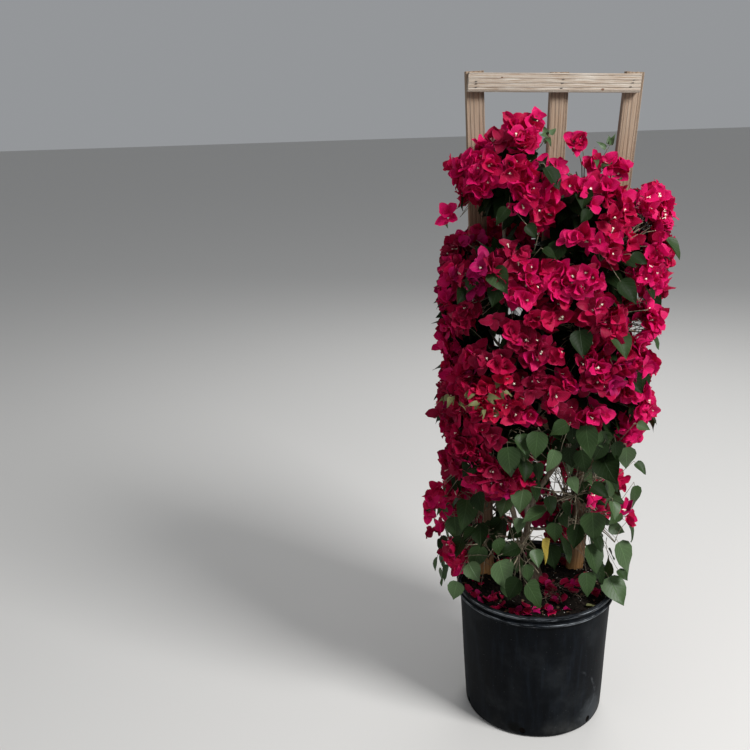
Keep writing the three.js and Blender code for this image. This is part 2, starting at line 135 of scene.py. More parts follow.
# The branches of a mass: how many are tried, how far out they end as shares of its size, at least and what
# chance adds, and the radii that they taper from and to
BRANCHING = {
    "dense": dict(tries=38, least=0.36, more=0.12, radii=(1.9, 1.3)),
    "open": dict(tries=18, least=0.5, more=0.2, radii=(1.9, 1.1)),
}
# The radii that other twigs taper from and to
TWIG_RADII = (1.1, 0.7)
OPEN_TWIG_RADII = (0.95, 0.55)
BIG_LEAF_TWIG_RADII = (1.0, 0.6)
SPRIG_RADII = (1.3, 0.7)
SITES = 22  # twigs that fork from one branch of a dense mass
CONE = 0.42  # how far they spread from its direction, in radians
SPREAD_OF_SPACES = 2.5  # how softly the spaces of the dense masses run into each other, less is softer
BRACT_LENGTH = 28
LEAF_LENGTH = 58
LEAF_APART = 37  # between the middles of the leaves of the open masses
LEAVES_EACH = 7  # that grow on one of their branches, at most
BLOOMS_EACH = 16  # and blooms
BACK_BLOOM = 0.45  # the share of the open masses' branches that end in blossom at the back
LEAF_SPOTS_EACH = 60  # places on one of their branches that are tried

# Blades: how many differ, their points along and across, and their form. A pair is drawn between for each.
BLADES = {
    "bract": dict(
        count=6, seed=5, rows=(0.08, 0.28, 0.54, 0.8, 0.94), columns=4, width=(0.84, 1.02), fold=(0.1, 0.55),
        droop=(-0.15, 0.5), widest=0.74, blunt=0.5, wave=0.085,
    ),
    "leaf": dict(
        count=6, seed=6, rows=(0.04, 0.15, 0.33, 0.55, 0.76, 0.92), columns=5, width=(0.72, 0.93),
        fold=(0.05, 0.42), droop=(-0.05, 0.5), widest=(0.56, 0.66), blunt=0.85, wave=0.045,
    ),
    "inner_leaf": dict(
        count=1, seed=8, rows=(0.08, 0.35, 0.75), columns=3, width=0.78, fold=0.2, droop=0.2,
        widest=0.6, blunt=0.85, wave=0.02,
    ),
    "young_leaf": dict(
        count=1, seed=9, rows=(0.1, 0.35, 0.65, 0.88), columns=4, width=0.5, fold=0.35, droop=0.4,
        widest=0.45, blunt=0.8, wave=0.06,
    ),
}

# Rows of staples: the rail, the upright's side, the shift to the right, the slant in degrees and the spread
STAPLED = (
    ("top", -1, -1, 0, 6), ("top", 0, 0, 10, 9), ("top", 1, -11, 30, 7), ("middle", -1, 0, 10, 6),
    ("middle", 0, 2, 0, 8), ("middle", 1, 0, -12, 6), ("bottom", -1, 1, 0, 7), ("bottom", 0, -2, 15, 6),
    ("bottom", 1, 2, -8, 6),
)
STAPLE_HALF = (2.5, 0, 0.4)
STAPLE_R = 0.85
KNOTS = ((95, -13.5, 2.3), (-115, 11, 1.5))  # in the top rail: along it, above its middle, and size
GRAIN_PITCH = 0.0088  # metres between the grain lines of the boards
STAIN_TURN = 0.433  # how far round the pot the damp stain of a drain hole is, as a share of the whole turn
SCRATCH_TURN = 0.638  # the same for the place where the scratch bows out
SCRATCH_MIDDLE = 0.236  # how high that place is, as a share of the pot's height

# The camera, fitted to the photo's frame
FRAME_WIDTH = 750
CAMERA_AT = (-361.7, -2000, 1480)
CAMERA_DOWN = 17.72  # degrees below level
CAMERA_ROLL = -1.86
CAMERA_LENS = 45.8
CAMERA_SENSOR = 36
PIXELS_A_UNIT = FRAME_WIDTH * CAMERA_LENS / CAMERA_SENSOR  # that 1 mm takes up at 1 mm from the camera

# Lights, in metres: where each stands, the height that it aims at, its size and its watts
LIGHTS = {
    "key": ((2.1, -1.9, 3.3), 0.8, 1.3, 195),
    "fill": ((-2.8, -2.0, 1.8), 0.8, 2.4, 10),
    "rim": ((0.8, 2.8, 2.9), 1.0, 1.8, 40),
}

# Places in the frame, in pixels from its top left corner. Spots are ellipses: x, y, half width, half height.
# Leaves are x, y, length and how far the tip swings aside, in degrees.

# The crown's upper edge
TOP_LINE = (
    (430, 185), (446, 172), (454, 164), (463, 155), (472, 152), (480, 148), (485, 139), (490, 135),
    (501, 133), (508, 132), (532, 134), (540, 141), (547, 158), (565, 172), (575, 175), (602, 177),
    (615, 179), (619, 190), (632, 188), (642, 191), (652, 181), (668, 191), (680, 208),
)
# Sprigs that stand out above the crown and beside it: x, y and the width of a bloom, 0 where they have none
SPRIGS = (
    (512, 123, 18), (531, 124, 20), (536, 118, 14), (574, 143, 19), (580, 139, 13), (595, 147, 15),
    (594, 162, 18), (608, 165, 19), (620, 167, 18), (571, 173, 15), (557, 164, 17), (448, 214, 18),
    (547, 136, 0), (609, 147, 0), (431, 499, 17), (428, 510, 16), (438, 488, 16), (442, 502, 15),
)
WIDE_SPRIG = 15  # a sprig wider than this has three blooms

# Gaps that the ground or a board shows through, in the crown and below it
SKY = (
    (462, 218, 6, 11), (513, 309, 12, 7), (497, 341, 5, 10), (640, 298, 6, 4), (635, 327, 8, 5),
    (645, 225, 5, 7), (575, 163, 6, 5), (588, 151, 4, 6), (612, 152, 6, 5), (560, 152, 5, 5),
    (437, 440, 11, 9), (667, 395, 9, 24), (668, 340, 7, 20), (676, 228, 5, 9),
)
LOW_SKY = (
    (558, 492, 8, 7), (531, 533, 7, 5), (512, 517, 5, 4), (555, 478, 5, 5), (611, 440, 6, 5),
    (628, 432, 5, 6), (579, 566, 8, 18), (548, 572, 9, 14), (565, 590, 16, 8), (486, 512, 6, 11),
    (577, 508, 7, 8), (520, 602, 14, 9),
)
# Hollows of the crown's front, where its dark inside shows
HOLLOWS = (
    (477, 222, 9, 20), (484, 338, 13, 14), (462, 338, 7, 9), (498, 216, 7, 18), (552, 203, 10, 6),
    (584, 256, 8, 10), (562, 341, 11, 10), (485, 300, 9, 9), (630, 312, 8, 9), (505, 264, 7, 8),
    (580, 400, 19, 10), (533, 240, 9, 10), (555, 262, 8, 7), (610, 290, 6, 8), (455, 362, 6, 9),
    (600, 218, 6, 6), (540, 300, 6, 5), (606, 352, 6, 7), (520, 372, 6, 5), (640, 380, 4, 7),
    (470, 425, 6, 6), (500, 425, 6, 5), (450, 312, 5, 7), (511, 308, 10, 6), (575, 305, 5, 5),
    (593, 322, 5, 5), (548, 366, 6, 5), (578, 372, 6, 6), (622, 350, 5, 6), (525, 330, 5, 6),
    (640, 250, 5, 7), (470, 262, 6, 7), (490, 250, 5, 6), (615, 400, 6, 5), (540, 395, 5, 5),
    (486, 375, 5, 6), (533, 160, 8, 7), (541, 172, 5, 6), (498, 192, 7, 5), (505, 160, 4, 4),
    (551, 231, 8, 7), (567, 212, 5, 6), (540, 334, 6, 5), (513, 224, 5, 5), (635, 203, 5, 6),
    (625, 236, 6, 5), (621, 413, 5, 4), (655, 300, 4, 6), (608, 270, 5, 5), (645, 350, 4, 6),
)
# Parts of the crown's front where leaves take the place of blooms, or young shoots grow among them
LEAFY = ((590, 398, 22, 9), (560, 433, 60, 16), (600, 460, 40, 28), (520, 456, 22, 18))
YOUNG = ((462, 398, 26, 13), (503, 388, 14, 14), (460, 262, 14, 14))
# Blossom low down, among the leaves of the open masses
LOW_BLOSSOM = (
    (473, 469, 37, 17), (442, 495, 16, 10), (437, 527, 8, 8), (457, 552, 9, 13), (462, 575, 3, 3),
    (480, 529, 3, 4), (624, 484, 14, 9), (623, 515, 8, 9), (588, 496, 6, 4), (639, 451, 4, 6),
    (554, 442, 3, 3), (604, 448, 5, 3),
)
# Leaves that stand out: on the crown's front, in its young shoots, and below it
CROWN_LEAVES = (
    (550, 174, 25, 30), (530, 229, 16, 40), (587, 214, 15, -35), (625, 288, 27, 35), (636, 258, 17, 60),
    (581, 339, 28, 5), (462, 293, 18, -25), (548, 251, 17, 65), (504, 212, 18, -40), (632, 318, 13, 10),
)
YOUNG_LEAVES = (
    (442, 397, 9, 80), (451, 395, 10, -40), (458, 403, 10, 60), (465, 398, 8, 120), (480, 403, 9, -80),
    (487, 396, 10, 30), (483, 408, 9, -50), (503, 391, 8, 60),
)
BIG_LEAVES = (
    (509, 457, 31, 8), (537, 440, 26, -5), (587, 435, 30, 0), (553, 457, 22, -15), (583, 457, 24, 15),
    (606, 464, 31, 25), (627, 455, 25, 10), (522, 497, 24, -12), (539, 514, 26, -60), (555, 529, 19, 0),
    (593, 522, 30, 5), (592, 553, 28, 12), (502, 570, 31, 18), (489, 586, 31, 30), (532, 591, 29, 35),
    (587, 580, 23, 5), (613, 586, 29, 25), (624, 552, 33, 30), (466, 509, 29, -8), (513, 549, 20, -70),
    (499, 545, 20, 20), (577, 532, 24, -10), (550, 502, 18, 10), (636, 493, 22, 10), (562, 427, 20, -60),
    (639, 466, 14, 45), (573, 482, 16, 20), (597, 489, 19, 60), (567, 507, 17, 40), (614, 528, 16, 70),
    (598, 541, 16, 15), (479, 499, 21, 15), (505, 503, 22, -20), (478, 554, 26, -15), (472, 569, 20, 30),
    (527, 570, 17, 10), (456, 587, 19, -10), (455, 524, 22, 5), (621, 573, 13, 40), (641, 426, 13, 65),
)
YELLOW_LEAF = (543, 547, 26, 8)
# The depths, as y in mm, down to which these places count
FRONT = 30  # hollows and leafy parts
LEAF_FRONT = 70  # room for the leaves that stand out
YOUNG_FRONT = 40  # young shoots
LOW_FRONT = 60  # low blossom, by the end of its branch
# Where the leaves that stand out hang from this row down
LOW_LEAVES_FROM = 500
LOW_LEAF_DEPTH = -118
LOWEST_LEAVES_FROM = 560
LOWEST_NEARER = 18
MIDDLE_COLUMN = 545
MIDDLE_HALF_WIDTH = 55
ASIDE_DEEPER = 40  # for those that are further than that from the middle column
# Fallen bracts in heaps of so many, in the frame and behind the stems in mm, and dried leaves
FALLEN = (
    (466, 588, 3), (476, 594, 4), (487, 600, 5), (499, 605, 5), (514, 611, 4), (527, 612, 5), (546, 580, 6),
    (549, 590, 6), (553, 599, 6), (546, 607, 6), (555, 611, 3), (574, 611, 2), (572, 585, 5), (594, 590, 4),
)
FALLEN_BEHIND = ((-60, 90, 8), (70, 100, 7), (10, 130, 8), (120, 20, 4), (-130, 30, 5), (-95, -60, 4))
DRY_LEAVES = ((536, 607), (592, 604))
HEAP_R = 158  # no bract of a heap lies further out than this
LITTER_R = 166  # nothing that has fallen reaches past this
CHIPS_R = 168

# Colours, as linear light
PLASTIC = (0.0025, 0.0036, 0.0052)
PLASTIC_HAZE = (0.024, 0.0275, 0.0305)
DUST = (0.085, 0.085, 0.08)
RUBBED = (0.05, 0.056, 0.062)
DAMP_STAIN = (0.0012, 0.0015, 0.0015)
# Pale grey of the rim's scuffs, which also paints highlights along its ring crests
SCUFF_AND_HIGHLIGHT = (0.24, 0.26, 0.28)
GRIT = (0.2, 0.2, 0.19)
SCRATCH = (0.11, 0.12, 0.13)
PINE = (0.275, 0.185, 0.12)
PINE_DARK = (0.10, 0.052, 0.024)
PINE_WEATHERED = (0.65, 0.62, 0.555)
PINE_BLOTCH = (0.30, 0.19, 0.115)
PINE_SHADED = (0.20, 0.105, 0.055)
PINE_DAMP = (0.38, 0.19, 0.065)
KNOT = (0.16, 0.085, 0.05)
STEEL = (0.022, 0.017, 0.014)
BARK_CRACK = (0.07, 0.048, 0.033)
BARK = (0.26, 0.20, 0.145)
BARK_PALE = (0.42, 0.36, 0.28)
BARK_GREY = (0.36, 0.325, 0.275)
TWIG_DARK = (0.085, 0.075, 0.045)
TWIG = (0.27, 0.22, 0.15)
DRY_ROOT = (0.16, 0.12, 0.085)
DAMP_MIX = (0.006, 0.0045, 0.0035)
FLOOR = (0.62, 0.61, 0.59)
CREAM = (0.86, 0.78, 0.62)
CRIMSONS = {
    "crimson": (0.45, 0.001, 0.050),
    "rose": (0.60, 0.003, 0.105),
    "deep": (0.27, 0.0008, 0.030),
    "magenta": (0.39, 0.0015, 0.088),
    "scarlet": (0.56, 0.003, 0.050),
}
CRIMSON_SHARES = (0.36, 0.30, 0.26, 0.08, 0)
# Painted light and shade: paler shades are made commoner high up and at the right, where the key light falls,
# and deep ones low down and at the left.
PAINTED_LIGHT_SHARES = (1.0, 2.0, 0.25, 0.5, 1.0)  # what they are multiplied by high up and at the right
PAINTED_LIGHT_ABOVE = 1150
PAINTED_LIGHT_RIGHT_OF = 110
PAINTED_SHADE_SHARES = (1.0, 0.55, 1.5, 1.0, 0.3)  # and low down and at the left
PAINTED_SHADE_BELOW = 950
PAINTED_SHADE_LEFT_OF = -60
GREENS = {
    "green": (0.025, 0.051, 0.0145),
    # The darkest green is partly painted shade: it is given to leaves inside the crown and among its blooms.
    "dark_green": (0.0095, 0.020, 0.0055),
    "pale_green": (0.052, 0.094, 0.034),
    "new_green": (0.15, 0.155, 0.062),
    "yellow": (0.28, 0.215, 0.035),
}

# Bits on the mix: how many, their half length, width and height, and their colour
CHIPS = {
    "bark_chips": (1500, (5, 2.6, 1.3), (0.012, 0.008, 0.006)),
    "pale_chips": (70, (7, 3, 1.5), (0.09, 0.055, 0.033)),
    "perlite": (150, (1.3, 1.1, 1.0), (0.5, 0.48, 0.43)),
}


def vec(*numbers):
    return np.array(numbers, float)


def unit(rows):
    return rows / np.maximum(np.linalg.norm(rows, axis=-1, keepdims=True), 1e-9)


def mix(a, b, share):
    return a + (b - a) * share


class Seeded:
    """The solids' sequence of numbers from 0 to 1."""

    def __init__(self, seed):
        self.state = seed

    def __call__(self):
        self.state = (self.state * 1664525 + 1013904223) % 2**32
        return self.state / 2**32


def named(start):
    """The solids whose names start so."""
    return [name for name in NODES if name.startswith(start)]


# The photo's frame

def camera_axes():
    """The camera's right, up and forward."""
    down, roll = math.radians(CAMERA_DOWN), math.radians(CAMERA_ROLL)
    forward = vec(0, math.cos(down), -math.sin(down))
    level = vec(0, math.sin(down), math.cos(down))
    right = vec(math.cos(roll), 0, 0) + level * math.sin(roll)
    return right, level * math.cos(roll) - vec(math.sin(roll), 0, 0), forward


def seen_at(points):
    """Where points show in the frame."""
    right, up, forward = camera_axes()
    away = points - vec(*CAMERA_AT)
    scale = PIXELS_A_UNIT / (away @ forward)
    return np.stack([FRAME_WIDTH / 2 + away @ right * scale, FRAME_WIDTH / 2 - away @ up * scale], -1)


def place_seen_at(x, y, depth):
    """The place at a depth (its own y in mm) that shows at pixel x, y."""
    right, up, forward = camera_axes()
    ray = forward + (right * (x - FRAME_WIDTH / 2) + up * (FRAME_WIDTH / 2 - y)) / PIXELS_A_UNIT
    return vec(*CAMERA_AT) + ray * (depth - CAMERA_AT[1]) / ray[1]


def mix_seen_at(x, y):
    """Where on the mix pixel x, y shows, as x and y in mm."""
    depth = min(range(-170, 100, 5), key=lambda d: abs(place_seen_at(x, y, d)[2] - SOIL_TOP))
    return place_seen_at(x, y, depth)[:2]


def in_spots(points, spots, grown=0.0):
    """True where a point shows inside one of some spots of the frame, each grown by so many pixels."""
    seen = seen_at(points)
    inside = np.zeros(len(points), bool)
    for x, y, half_x, half_y in spots:
        aside, above = (seen[:, 0] - x) / (half_x + grown), (seen[:, 1] - y) / (half_y + grown)
        inside |= np.hypot(aside, above) < 1
    return inside


# Curves

def smooth_route(corners, count, steps_each=40):
    """A centripetal Catmull-Rom curve through the corners, as evenly spaced points."""
    corners = np.array(corners, float)
    first = 2 * corners[0] - corners[1]
    last = 2 * corners[-1] - corners[-2]
    whole = np.vstack([first, corners, last])
    share = np.linspace(0, 1, steps_each)[:, None]
    stretches = []
    for p0, p1, p2, p3 in zip(whole, whole[1:], whole[2:], whole[3:]):
        d0, d1, d2 = (np.linalg.norm(b - a) ** 0.5 for a, b in ((p0, p1), (p1, p2), (p2, p3)))
        leave = ((p1 - p0) / d0 - (p2 - p0) / (d0 + d1) + (p2 - p1) / d1) * d1
        arrive = ((p2 - p1) / d1 - (p3 - p1) / (d1 + d2) + (p3 - p2) / d2) * d1
        stretches.append(
            p1
            + leave * share
            + (3 * (p2 - p1) - 2 * leave - arrive) * share**2
            + (2 * (p1 - p2) + leave + arrive) * share**3
        )
    dense = np.vstack(stretches)
    steps = np.linalg.norm(np.diff(dense, axis=0), axis=1)
    length = np.concatenate([[0], np.cumsum(steps)])
    even = np.linspace(0, length[-1], count)
    return np.stack([np.interp(even, length, dense[:, i]) for i in range(3)], axis=1)


def waves(count, rng, scale, sizes=(1.0, 0.5, 0.25)):
    """Smooth one-dimensional disorder: count numbers whose slowest wave takes scale steps."""
    along = np.arange(count) / scale
    total = np.zeros(count)
    for i, size in enumerate(sizes):
        total += size * np.sin(2 * math.pi * (along * 2**i + rng.random()))
    return total


# Meshes from arrays: points in mm, triangles and uvs

def tubes(paths, radii, sides):
    """Tubes along paths (count, rings, 3). radii is (count, rings), or (count, rings, sides) with relief."""
    count, rings, _ = paths.shape
    along = unit(np.gradient(paths, axis=1))
    least = np.abs(along.mean(axis=1)).argmin(axis=1)
    hint = np.eye(3)[least][:, None, :]
    across = unit(np.cross(along, hint))
    other = np.cross(along, across)
    turn = 2 * math.pi * np.arange(sides) / sides
    ring = across[:, :, None] * np.cos(turn)[:, None] + other[:, :, None] * np.sin(turn)[:, None]
    radii = radii[..., None] if radii.ndim == 3 else radii[..., None, None]
    points = (paths[:, :, None] + ring * radii).reshape(-1, 3)
    index = np.arange(count * rings * sides).reshape(count, rings, sides)
    a = index[:, :-1]
    b = np.roll(a, -1, axis=2)
    c = index[:, 1:]
    d = np.roll(c, -1, axis=2)
    walls = np.concatenate([np.stack([a, b, d], -1).reshape(-1, 3), np.stack([a, d, c], -1).reshape(-1, 3)])
    tip = index[:, -1]
    caps = [np.stack([tip[:, 0], tip[:, i], tip[:, i + 1]], -1) for i in range(1, sides - 1)]
    return points, np.concatenate([walls, *caps])


def copies(shape, axes, origins):
    """One mesh of a shape's copies. axes is (count, 3, 3): where a copy's x, y and z point, with its size."""
    points, triangles, uvs = shape
    moved = np.einsum("vk,nkj->nvj", points, axes) + origins[:, None]
    offsets = (np.arange(len(axes)) * len(points))[:, None, None]
    return moved.reshape(-1, 3), (triangles[None] + offsets).reshape(-1, 3), np.tile(uvs, (len(axes), 1))


def joined(meshes):
    """Several (points, triangles, uvs) as one."""
    points, triangles, uvs = zip(*meshes)
    starts = np.cumsum([0] + [len(places) for places in points])
    moved = [corners + start for corners, start in zip(triangles, starts)]
    return np.concatenate(points), np.concatenate(moved), np.concatenate(uvs)


def with_uvs(points, triangles):
    return points, triangles, np.zeros((len(points), 2))


def grid_triangles(rows, columns, wrap=False):
    """Triangles over a grid of points, row by row."""
    index = np.arange(rows * columns).reshape(rows, columns)
    if wrap:
        index = np.concatenate([index, index[:, :1]], axis=1)
    a, b, c, d = index[:-1, :-1], index[:-1, 1:], index[1:, :-1], index[1:, 1:]
    return np.concatenate([np.stack([a, b, d], -1).reshape(-1, 3), np.stack([a, d, c], -1).reshape(-1, 3)])


def make_piece(name, mesh, material, slot, stands_for=(), smooth=True):
    """A Blender object from (points in mm, triangles, uvs), riding on the plant's one body."""
    points, triangles, uvs = mesh
    data = bpy.data.meshes.new(name)
    data.vertices.add(len(points))
    data.vertices.foreach_set("co", (points * MM).astype(np.float32).ravel())
    data.loops.add(triangles.size)
    data.loops.foreach_set("vertex_index", triangles.astype(np.int32).ravel())
    data.polygons.add(len(triangles))
    data.polygons.foreach_set("loop_start", np.arange(0, triangles.size, 3, dtype=np.int32))
    layer = data.uv_layers.new(name="UVMap")
    layer.data.foreach_set("uv", uvs[triangles.ravel()].astype(np.float32).ravel())
    data.polygons.foreach_set("use_smooth", np.full(len(triangles), smooth))
    data.update(calc_edges=True)
    data.validate()
    data.materials.append(material)
    piece = bpy.data.objects.new(name, data)
    bpy.context.scene.collection.objects.link(piece)
    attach(piece, "root")
    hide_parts(*stands_for)
    return piece


# Materials

SURFACE_SOCKETS = {"base_color": "Base Color", "roughness": "Roughness", "gloss": "Specular IOR Level"}
MIX_SHARE, MIX_FIRST, MIX_SECOND, MIX_RESULT = 0, 6, 7, 2  # the Mix node's sockets for colours


def tint(colour, times, plus=0.0):
    return tuple(min(1.0, c * times + plus) for c in colour)


class Signal:
    """A number or colour that a material's nodes work out for each point of a surface."""

    def __init__(self, shader, socket):
        self.shader = shader
        self.socket = socket

    def math(self, operation, other=0.0):
        return self.shader.signal("Math", {0: self, 1: other}, operation=operation)

    def __rsub__(self, other):
        return self.shader.signal("Math", {0: other, 1: self}, operation="SUBTRACT")

    __add__ = partialmethod(math, "ADD")
    __sub__ = partialmethod(math, "SUBTRACT")
    __mul__ = partialmethod(math, "MULTIPLY")
    __pow__ = partialmethod(math, "POWER")
    __abs__ = partialmethod(math, "ABSOLUTE")
    sine = partialmethod(math, "SINE")
    or_more = partialmethod(math, "MAXIMUM")
    or_less = partialmethod(math, "MINIMUM")


class Shader:
    """Builds one material's nodes."""

    def __init__(self, name, **sockets):
        self.material = bpy.data.materials.new(name)
        self.material.use_nodes = True
        self.tree = self.material.node_tree
        self.surface = self.tree.nodes["Principled BSDF"]
        for socket, value in sockets.items():
            self.set(self.surface, SURFACE_SOCKETS[socket], value)

    def set(self, node, socket, value):
        target = node.inputs[socket]
        if isinstance(value, Signal):
            self.tree.links.new(value.socket, target)
        elif isinstance(value, tuple) and target.type == "RGBA":
            target.default_value = (*value, 1)
        else:
            target.default_value = value

    def node(self, kind, inputs, **settings):
        made = self.tree.nodes.new(f"ShaderNode{kind}")
        for name, value in settings.items():
            setattr(made, name, value)
        for socket, value in inputs.items():
            self.set(made, socket, value)
        return made

    def signal(self, kind, inputs, output=0, **settings):
        return Signal(self, self.node(kind, inputs, **settings).outputs[output])

    def ramp(self, value, *stops):
        """A smooth run of colours. Stops are (place, colour)."""
        made = self.node("ValToRGB", {"Fac": value})
        elements = made.color_ramp.elements
        for element, (place, colour) in zip(elements, (stops[0], stops[-1])):
            element.position = place
            element.color = (*colour, 1)
        for place, colour in stops[1:-1]:
            elements.new(place).color = (*colour, 1)
        return Signal(self, made.outputs["Color"])

    def mask(self, value, low, high):
        """0 at low and 1 at high, smooth between them."""
        inputs = {"Value": value, "From Min": low, "From Max": high}
        return self.signal("MapRange", inputs, interpolation_type="SMOOTHSTEP")

    def blend(self, share, a, b):
        inputs = {MIX_SHARE: share, MIX_FIRST: a, MIX_SECOND: b}
        return self.signal("Mix", inputs, MIX_RESULT, data_type="RGBA")

    def noise(self, place, scale, detail=4.0, roughness=0.55):
        inputs = {"Vector": place, "Scale": scale, "Detail": detail, "Roughness": roughness}
        return self.signal("TexNoise", inputs)

    def stretched(self, place, *scale):
        return self.signal("Mapping", {"Vector": place, "Scale": scale})

    def here(self):
        return self.signal("TexCoord", {}, "Object")

    def uv(self):
        return self.signal("UVMap", {}, uv_map="UVMap")

    def split(self, vector):
        """A vector's x, y and z."""
        return [Signal(self, output) for output in self.node("SeparateXYZ", {"Vector": vector}).outputs]

    def veins(self, slant, waves_along, fine, midrib_half):
        """A blade's distance from its middle line, then what is 1 on its side veins and on its midrib."""
        across, along, _ = self.split(self.uv())
        off_middle = abs(across - 0.5)
        ribs = ((along - off_middle * slant) * waves_along).sine()
        return off_middle, self.mask(ribs, fine, 1.0), self.mask(off_middle, midrib_half, 0.0)

    def paint(self, colour, height, strength, distance):
        """The finished material: its colour, and relief as deep as distance in metres."""
        self.set(self.surface, "Base Color", colour)
        relief = {"Height": height, "Strength": strength, "Distance": distance}
        self.set(self.surface, "Normal", self.signal("Bump", relief))
        return self.material

    def let_light_through(self, colour, share):
        """Thin foliage: part of the light that falls on its back shows on its front."""
        thin = self.signal("BsdfTranslucent", {"Color": colour})
        both = self.signal("MixShader", {0: share, 1: Signal(self, self.surface.outputs[0]), 2: thin})
        self.set(self.tree.nodes["Material Output"], "Surface", both)


def bract_material(name, colour):
    """Papery bract: raised veins and a paler midrib over its own plain colour, and a paler margin that is
    painted highlight where light catches the curled edge.
    """
    shader = Shader(f"bract_{name}", roughness=0.55, gloss=0.14)
    red, green, blue = colour
    pale = (min(1, red * 1.25 + 0.08), green * 1.3 + 0.035, blue * 1.3 + 0.07)
    off_middle, side_veins, midrib = shader.veins(0.9, 38.0, 0.75, 0.035)
    raised = side_veins.or_more(midrib)
    # The pale margin is painted highlight along the bract's edge; the paler veins are its own colour.
    light = (shader.mask(off_middle, 0.42, 0.5) * 0.9).or_more(raised * 0.3)
    shader.let_light_through((min(1, red * 1.3), green, blue * 1.3), 0.22)
    return shader.paint(shader.blend(light, colour, pale), raised, 0.7, 0.001)


def leaf_material(name, colour):
    """Leaf: paler midrib and side veins, sunk a little in its own plain colour."""
    gloss = {"pale_green": 0.35, "dark_green": 0.08}.get(name, 0.2)
    shader = Shader(f"leaf_{name}", roughness=0.46, gloss=gloss)
    _, side_veins, midrib = shader.veins(0.75, 44.0, 0.86, 0.03)
    veins = (side_veins * 0.55).or_more(midrib)
    shader.let_light_through(tint(colour, 1.8), 0.16)
    return shader.paint(shader.blend(veins * 0.6, colour, tint(colour, 2.1, 0.012)), 1.0 - veins, 0.5, 0.0012)


def flower_material():
    shader = Shader("flower_cream", roughness=0.5)
    return shader.paint(CREAM, shader.noise(shader.here(), 900.0, 2.0), 0.3, 0.0003)


def bark_material():
    """Grey-brown bark: long cracks and pale patches."""
    shader = Shader("bark", roughness=0.88, gloss=0.25)
    place = shader.here()
    cracks = shader.noise(shader.stretched(place, 1.0, 1.0, 0.16), 260.0, 6.0, 0.65)
    patches = shader.noise(place, 22.0, 3.0)
    cracked = shader.ramp(cracks, (0.3, BARK_CRACK), (0.5, BARK), (0.75, BARK_PALE))
    colour = shader.blend(shader.mask(patches, 0.45, 0.75), cracked, BARK_GREY)
    return shader.paint(colour, cracks, 0.9, 0.0022)


def twig_material():
    shader = Shader("twig_bark", roughness=0.8)
    streaks = shader.noise(shader.here(), 160.0, 3.0)
    return shader.paint(shader.ramp(streaks, (0.35, TWIG_DARK), (0.7, TWIG)), streaks, 0.4, 0.0008)


def plastic_material():
    """Black nursery-pot plastic: faint streaks, dust and a damp stain low down, scuffs with painted
    highlights along the rim's rings, and one scratch.
    """
    shader = Shader("pot_plastic", gloss=0.06)
    turn, height, _ = shader.split(shader.uv())
    place = shader.here()
    streaks = shader.noise(shader.stretched(place, 1.0, 1.0, 0.12), 60.0, 5.0, 0.6)
    cloud = shader.noise(place, 9.0, 5.0, 0.6)
    streaked = shader.ramp(streaks, (0.3, tint(PLASTIC, 0.6)), (0.52, PLASTIC), (0.78, tint(PLASTIC, 3.0)))
    hazy = shader.blend(shader.mask(cloud, 0.45, 0.75) * 0.5, streaked, PLASTIC_HAZE)
    low = shader.mask(height, 0.16, 0.0) * shader.mask(cloud, 0.38, 0.7)
    dusty = shader.blend(low * 0.5, hazy, DUST)

    def patch(at_turn, at_height, wide, tall, ragged):
        """1 inside an oval of the wall with a ragged edge."""
        squares = ((turn - at_turn) * (1 / wide)) ** 2.0 + ((height - at_height) * (1 / tall)) ** 2.0
        rough = shader.noise(place, 90.0, 4.0) * ragged
        return shader.mask(squares + rough, 1.0 + ragged * 0.5, ragged * 0.5)

    smeared = shader.blend(patch(SCRATCH_TURN - 0.01, 0.1, 0.05, 0.16, 1.2) * 0.6, dusty, RUBBED)
    stained = shader.blend(patch(STAIN_TURN, 0.07, 0.022, 0.055, 0.9), smeared, DAMP_STAIN)

    def crest(z):
        """1 along the crest of a ring of the rim at this height."""
        return shader.mask(abs(height - z / POT_HEIGHT), 4.6 / POT_HEIGHT, 1.4 / POT_HEIGHT)

    # Pale lines along the crests of the rim's rings: partly scuffs, partly painted highlight where light
    # catches the ridges.
    upper = POT_HEIGHT - LIP_HEIGHT * 0.4
    rings = crest(upper).or_more(crest(upper - LIP_HEIGHT - LIP_GROOVE))
    grooves = shader.mask((height * (POT_HEIGHT * 1.9)).sine(), 0.9, -0.3)
    worn_at = shader.noise(shader.stretched(place, 1.0, 1.0, 9.0), 21.0, 6.0, 0.7)
    worn = rings * grooves * shader.mask(worn_at, 0.4, 0.66)
    scuffed_and_lit = shader.blend(worn * 0.95, stained, SCUFF_AND_HIGHLIGHT)
    specks = shader.mask(shader.noise(place, 330.0, 2.0, 0.5), 0.72, 0.8)
    specked = shader.blend(specks * 0.45, scuffed_and_lit, GRIT)

    above = height - SCRATCH_MIDDLE
    bow = (above + above.or_less(0.0) * 0.7) ** 2.0 * 0.78
    off = abs(turn - (SCRATCH_TURN - bow))
    line = shader.mask(off - shader.noise(place, 190.0, 4.0) * 0.008, 0.0025, -0.0045)
    reach = shader.mask(height, 0.06, 0.16) * shader.mask(height, 0.54, 0.42)
    broken = reach * shader.mask(shader.noise(place, 70.0, 3.0), 0.4, 0.64)
    scratched = shader.blend(line * broken * 0.4, specked, SCRATCH)
    sheen = shader.signal("MapRange", {"Value": cloud, "To Min": 0.5, "To Max": 0.66})
    shader.set(shader.surface, "Roughness", sheen)
    return shader.paint(scratched, streaks + worn_at * 0.4, 0.25, 0.0012)


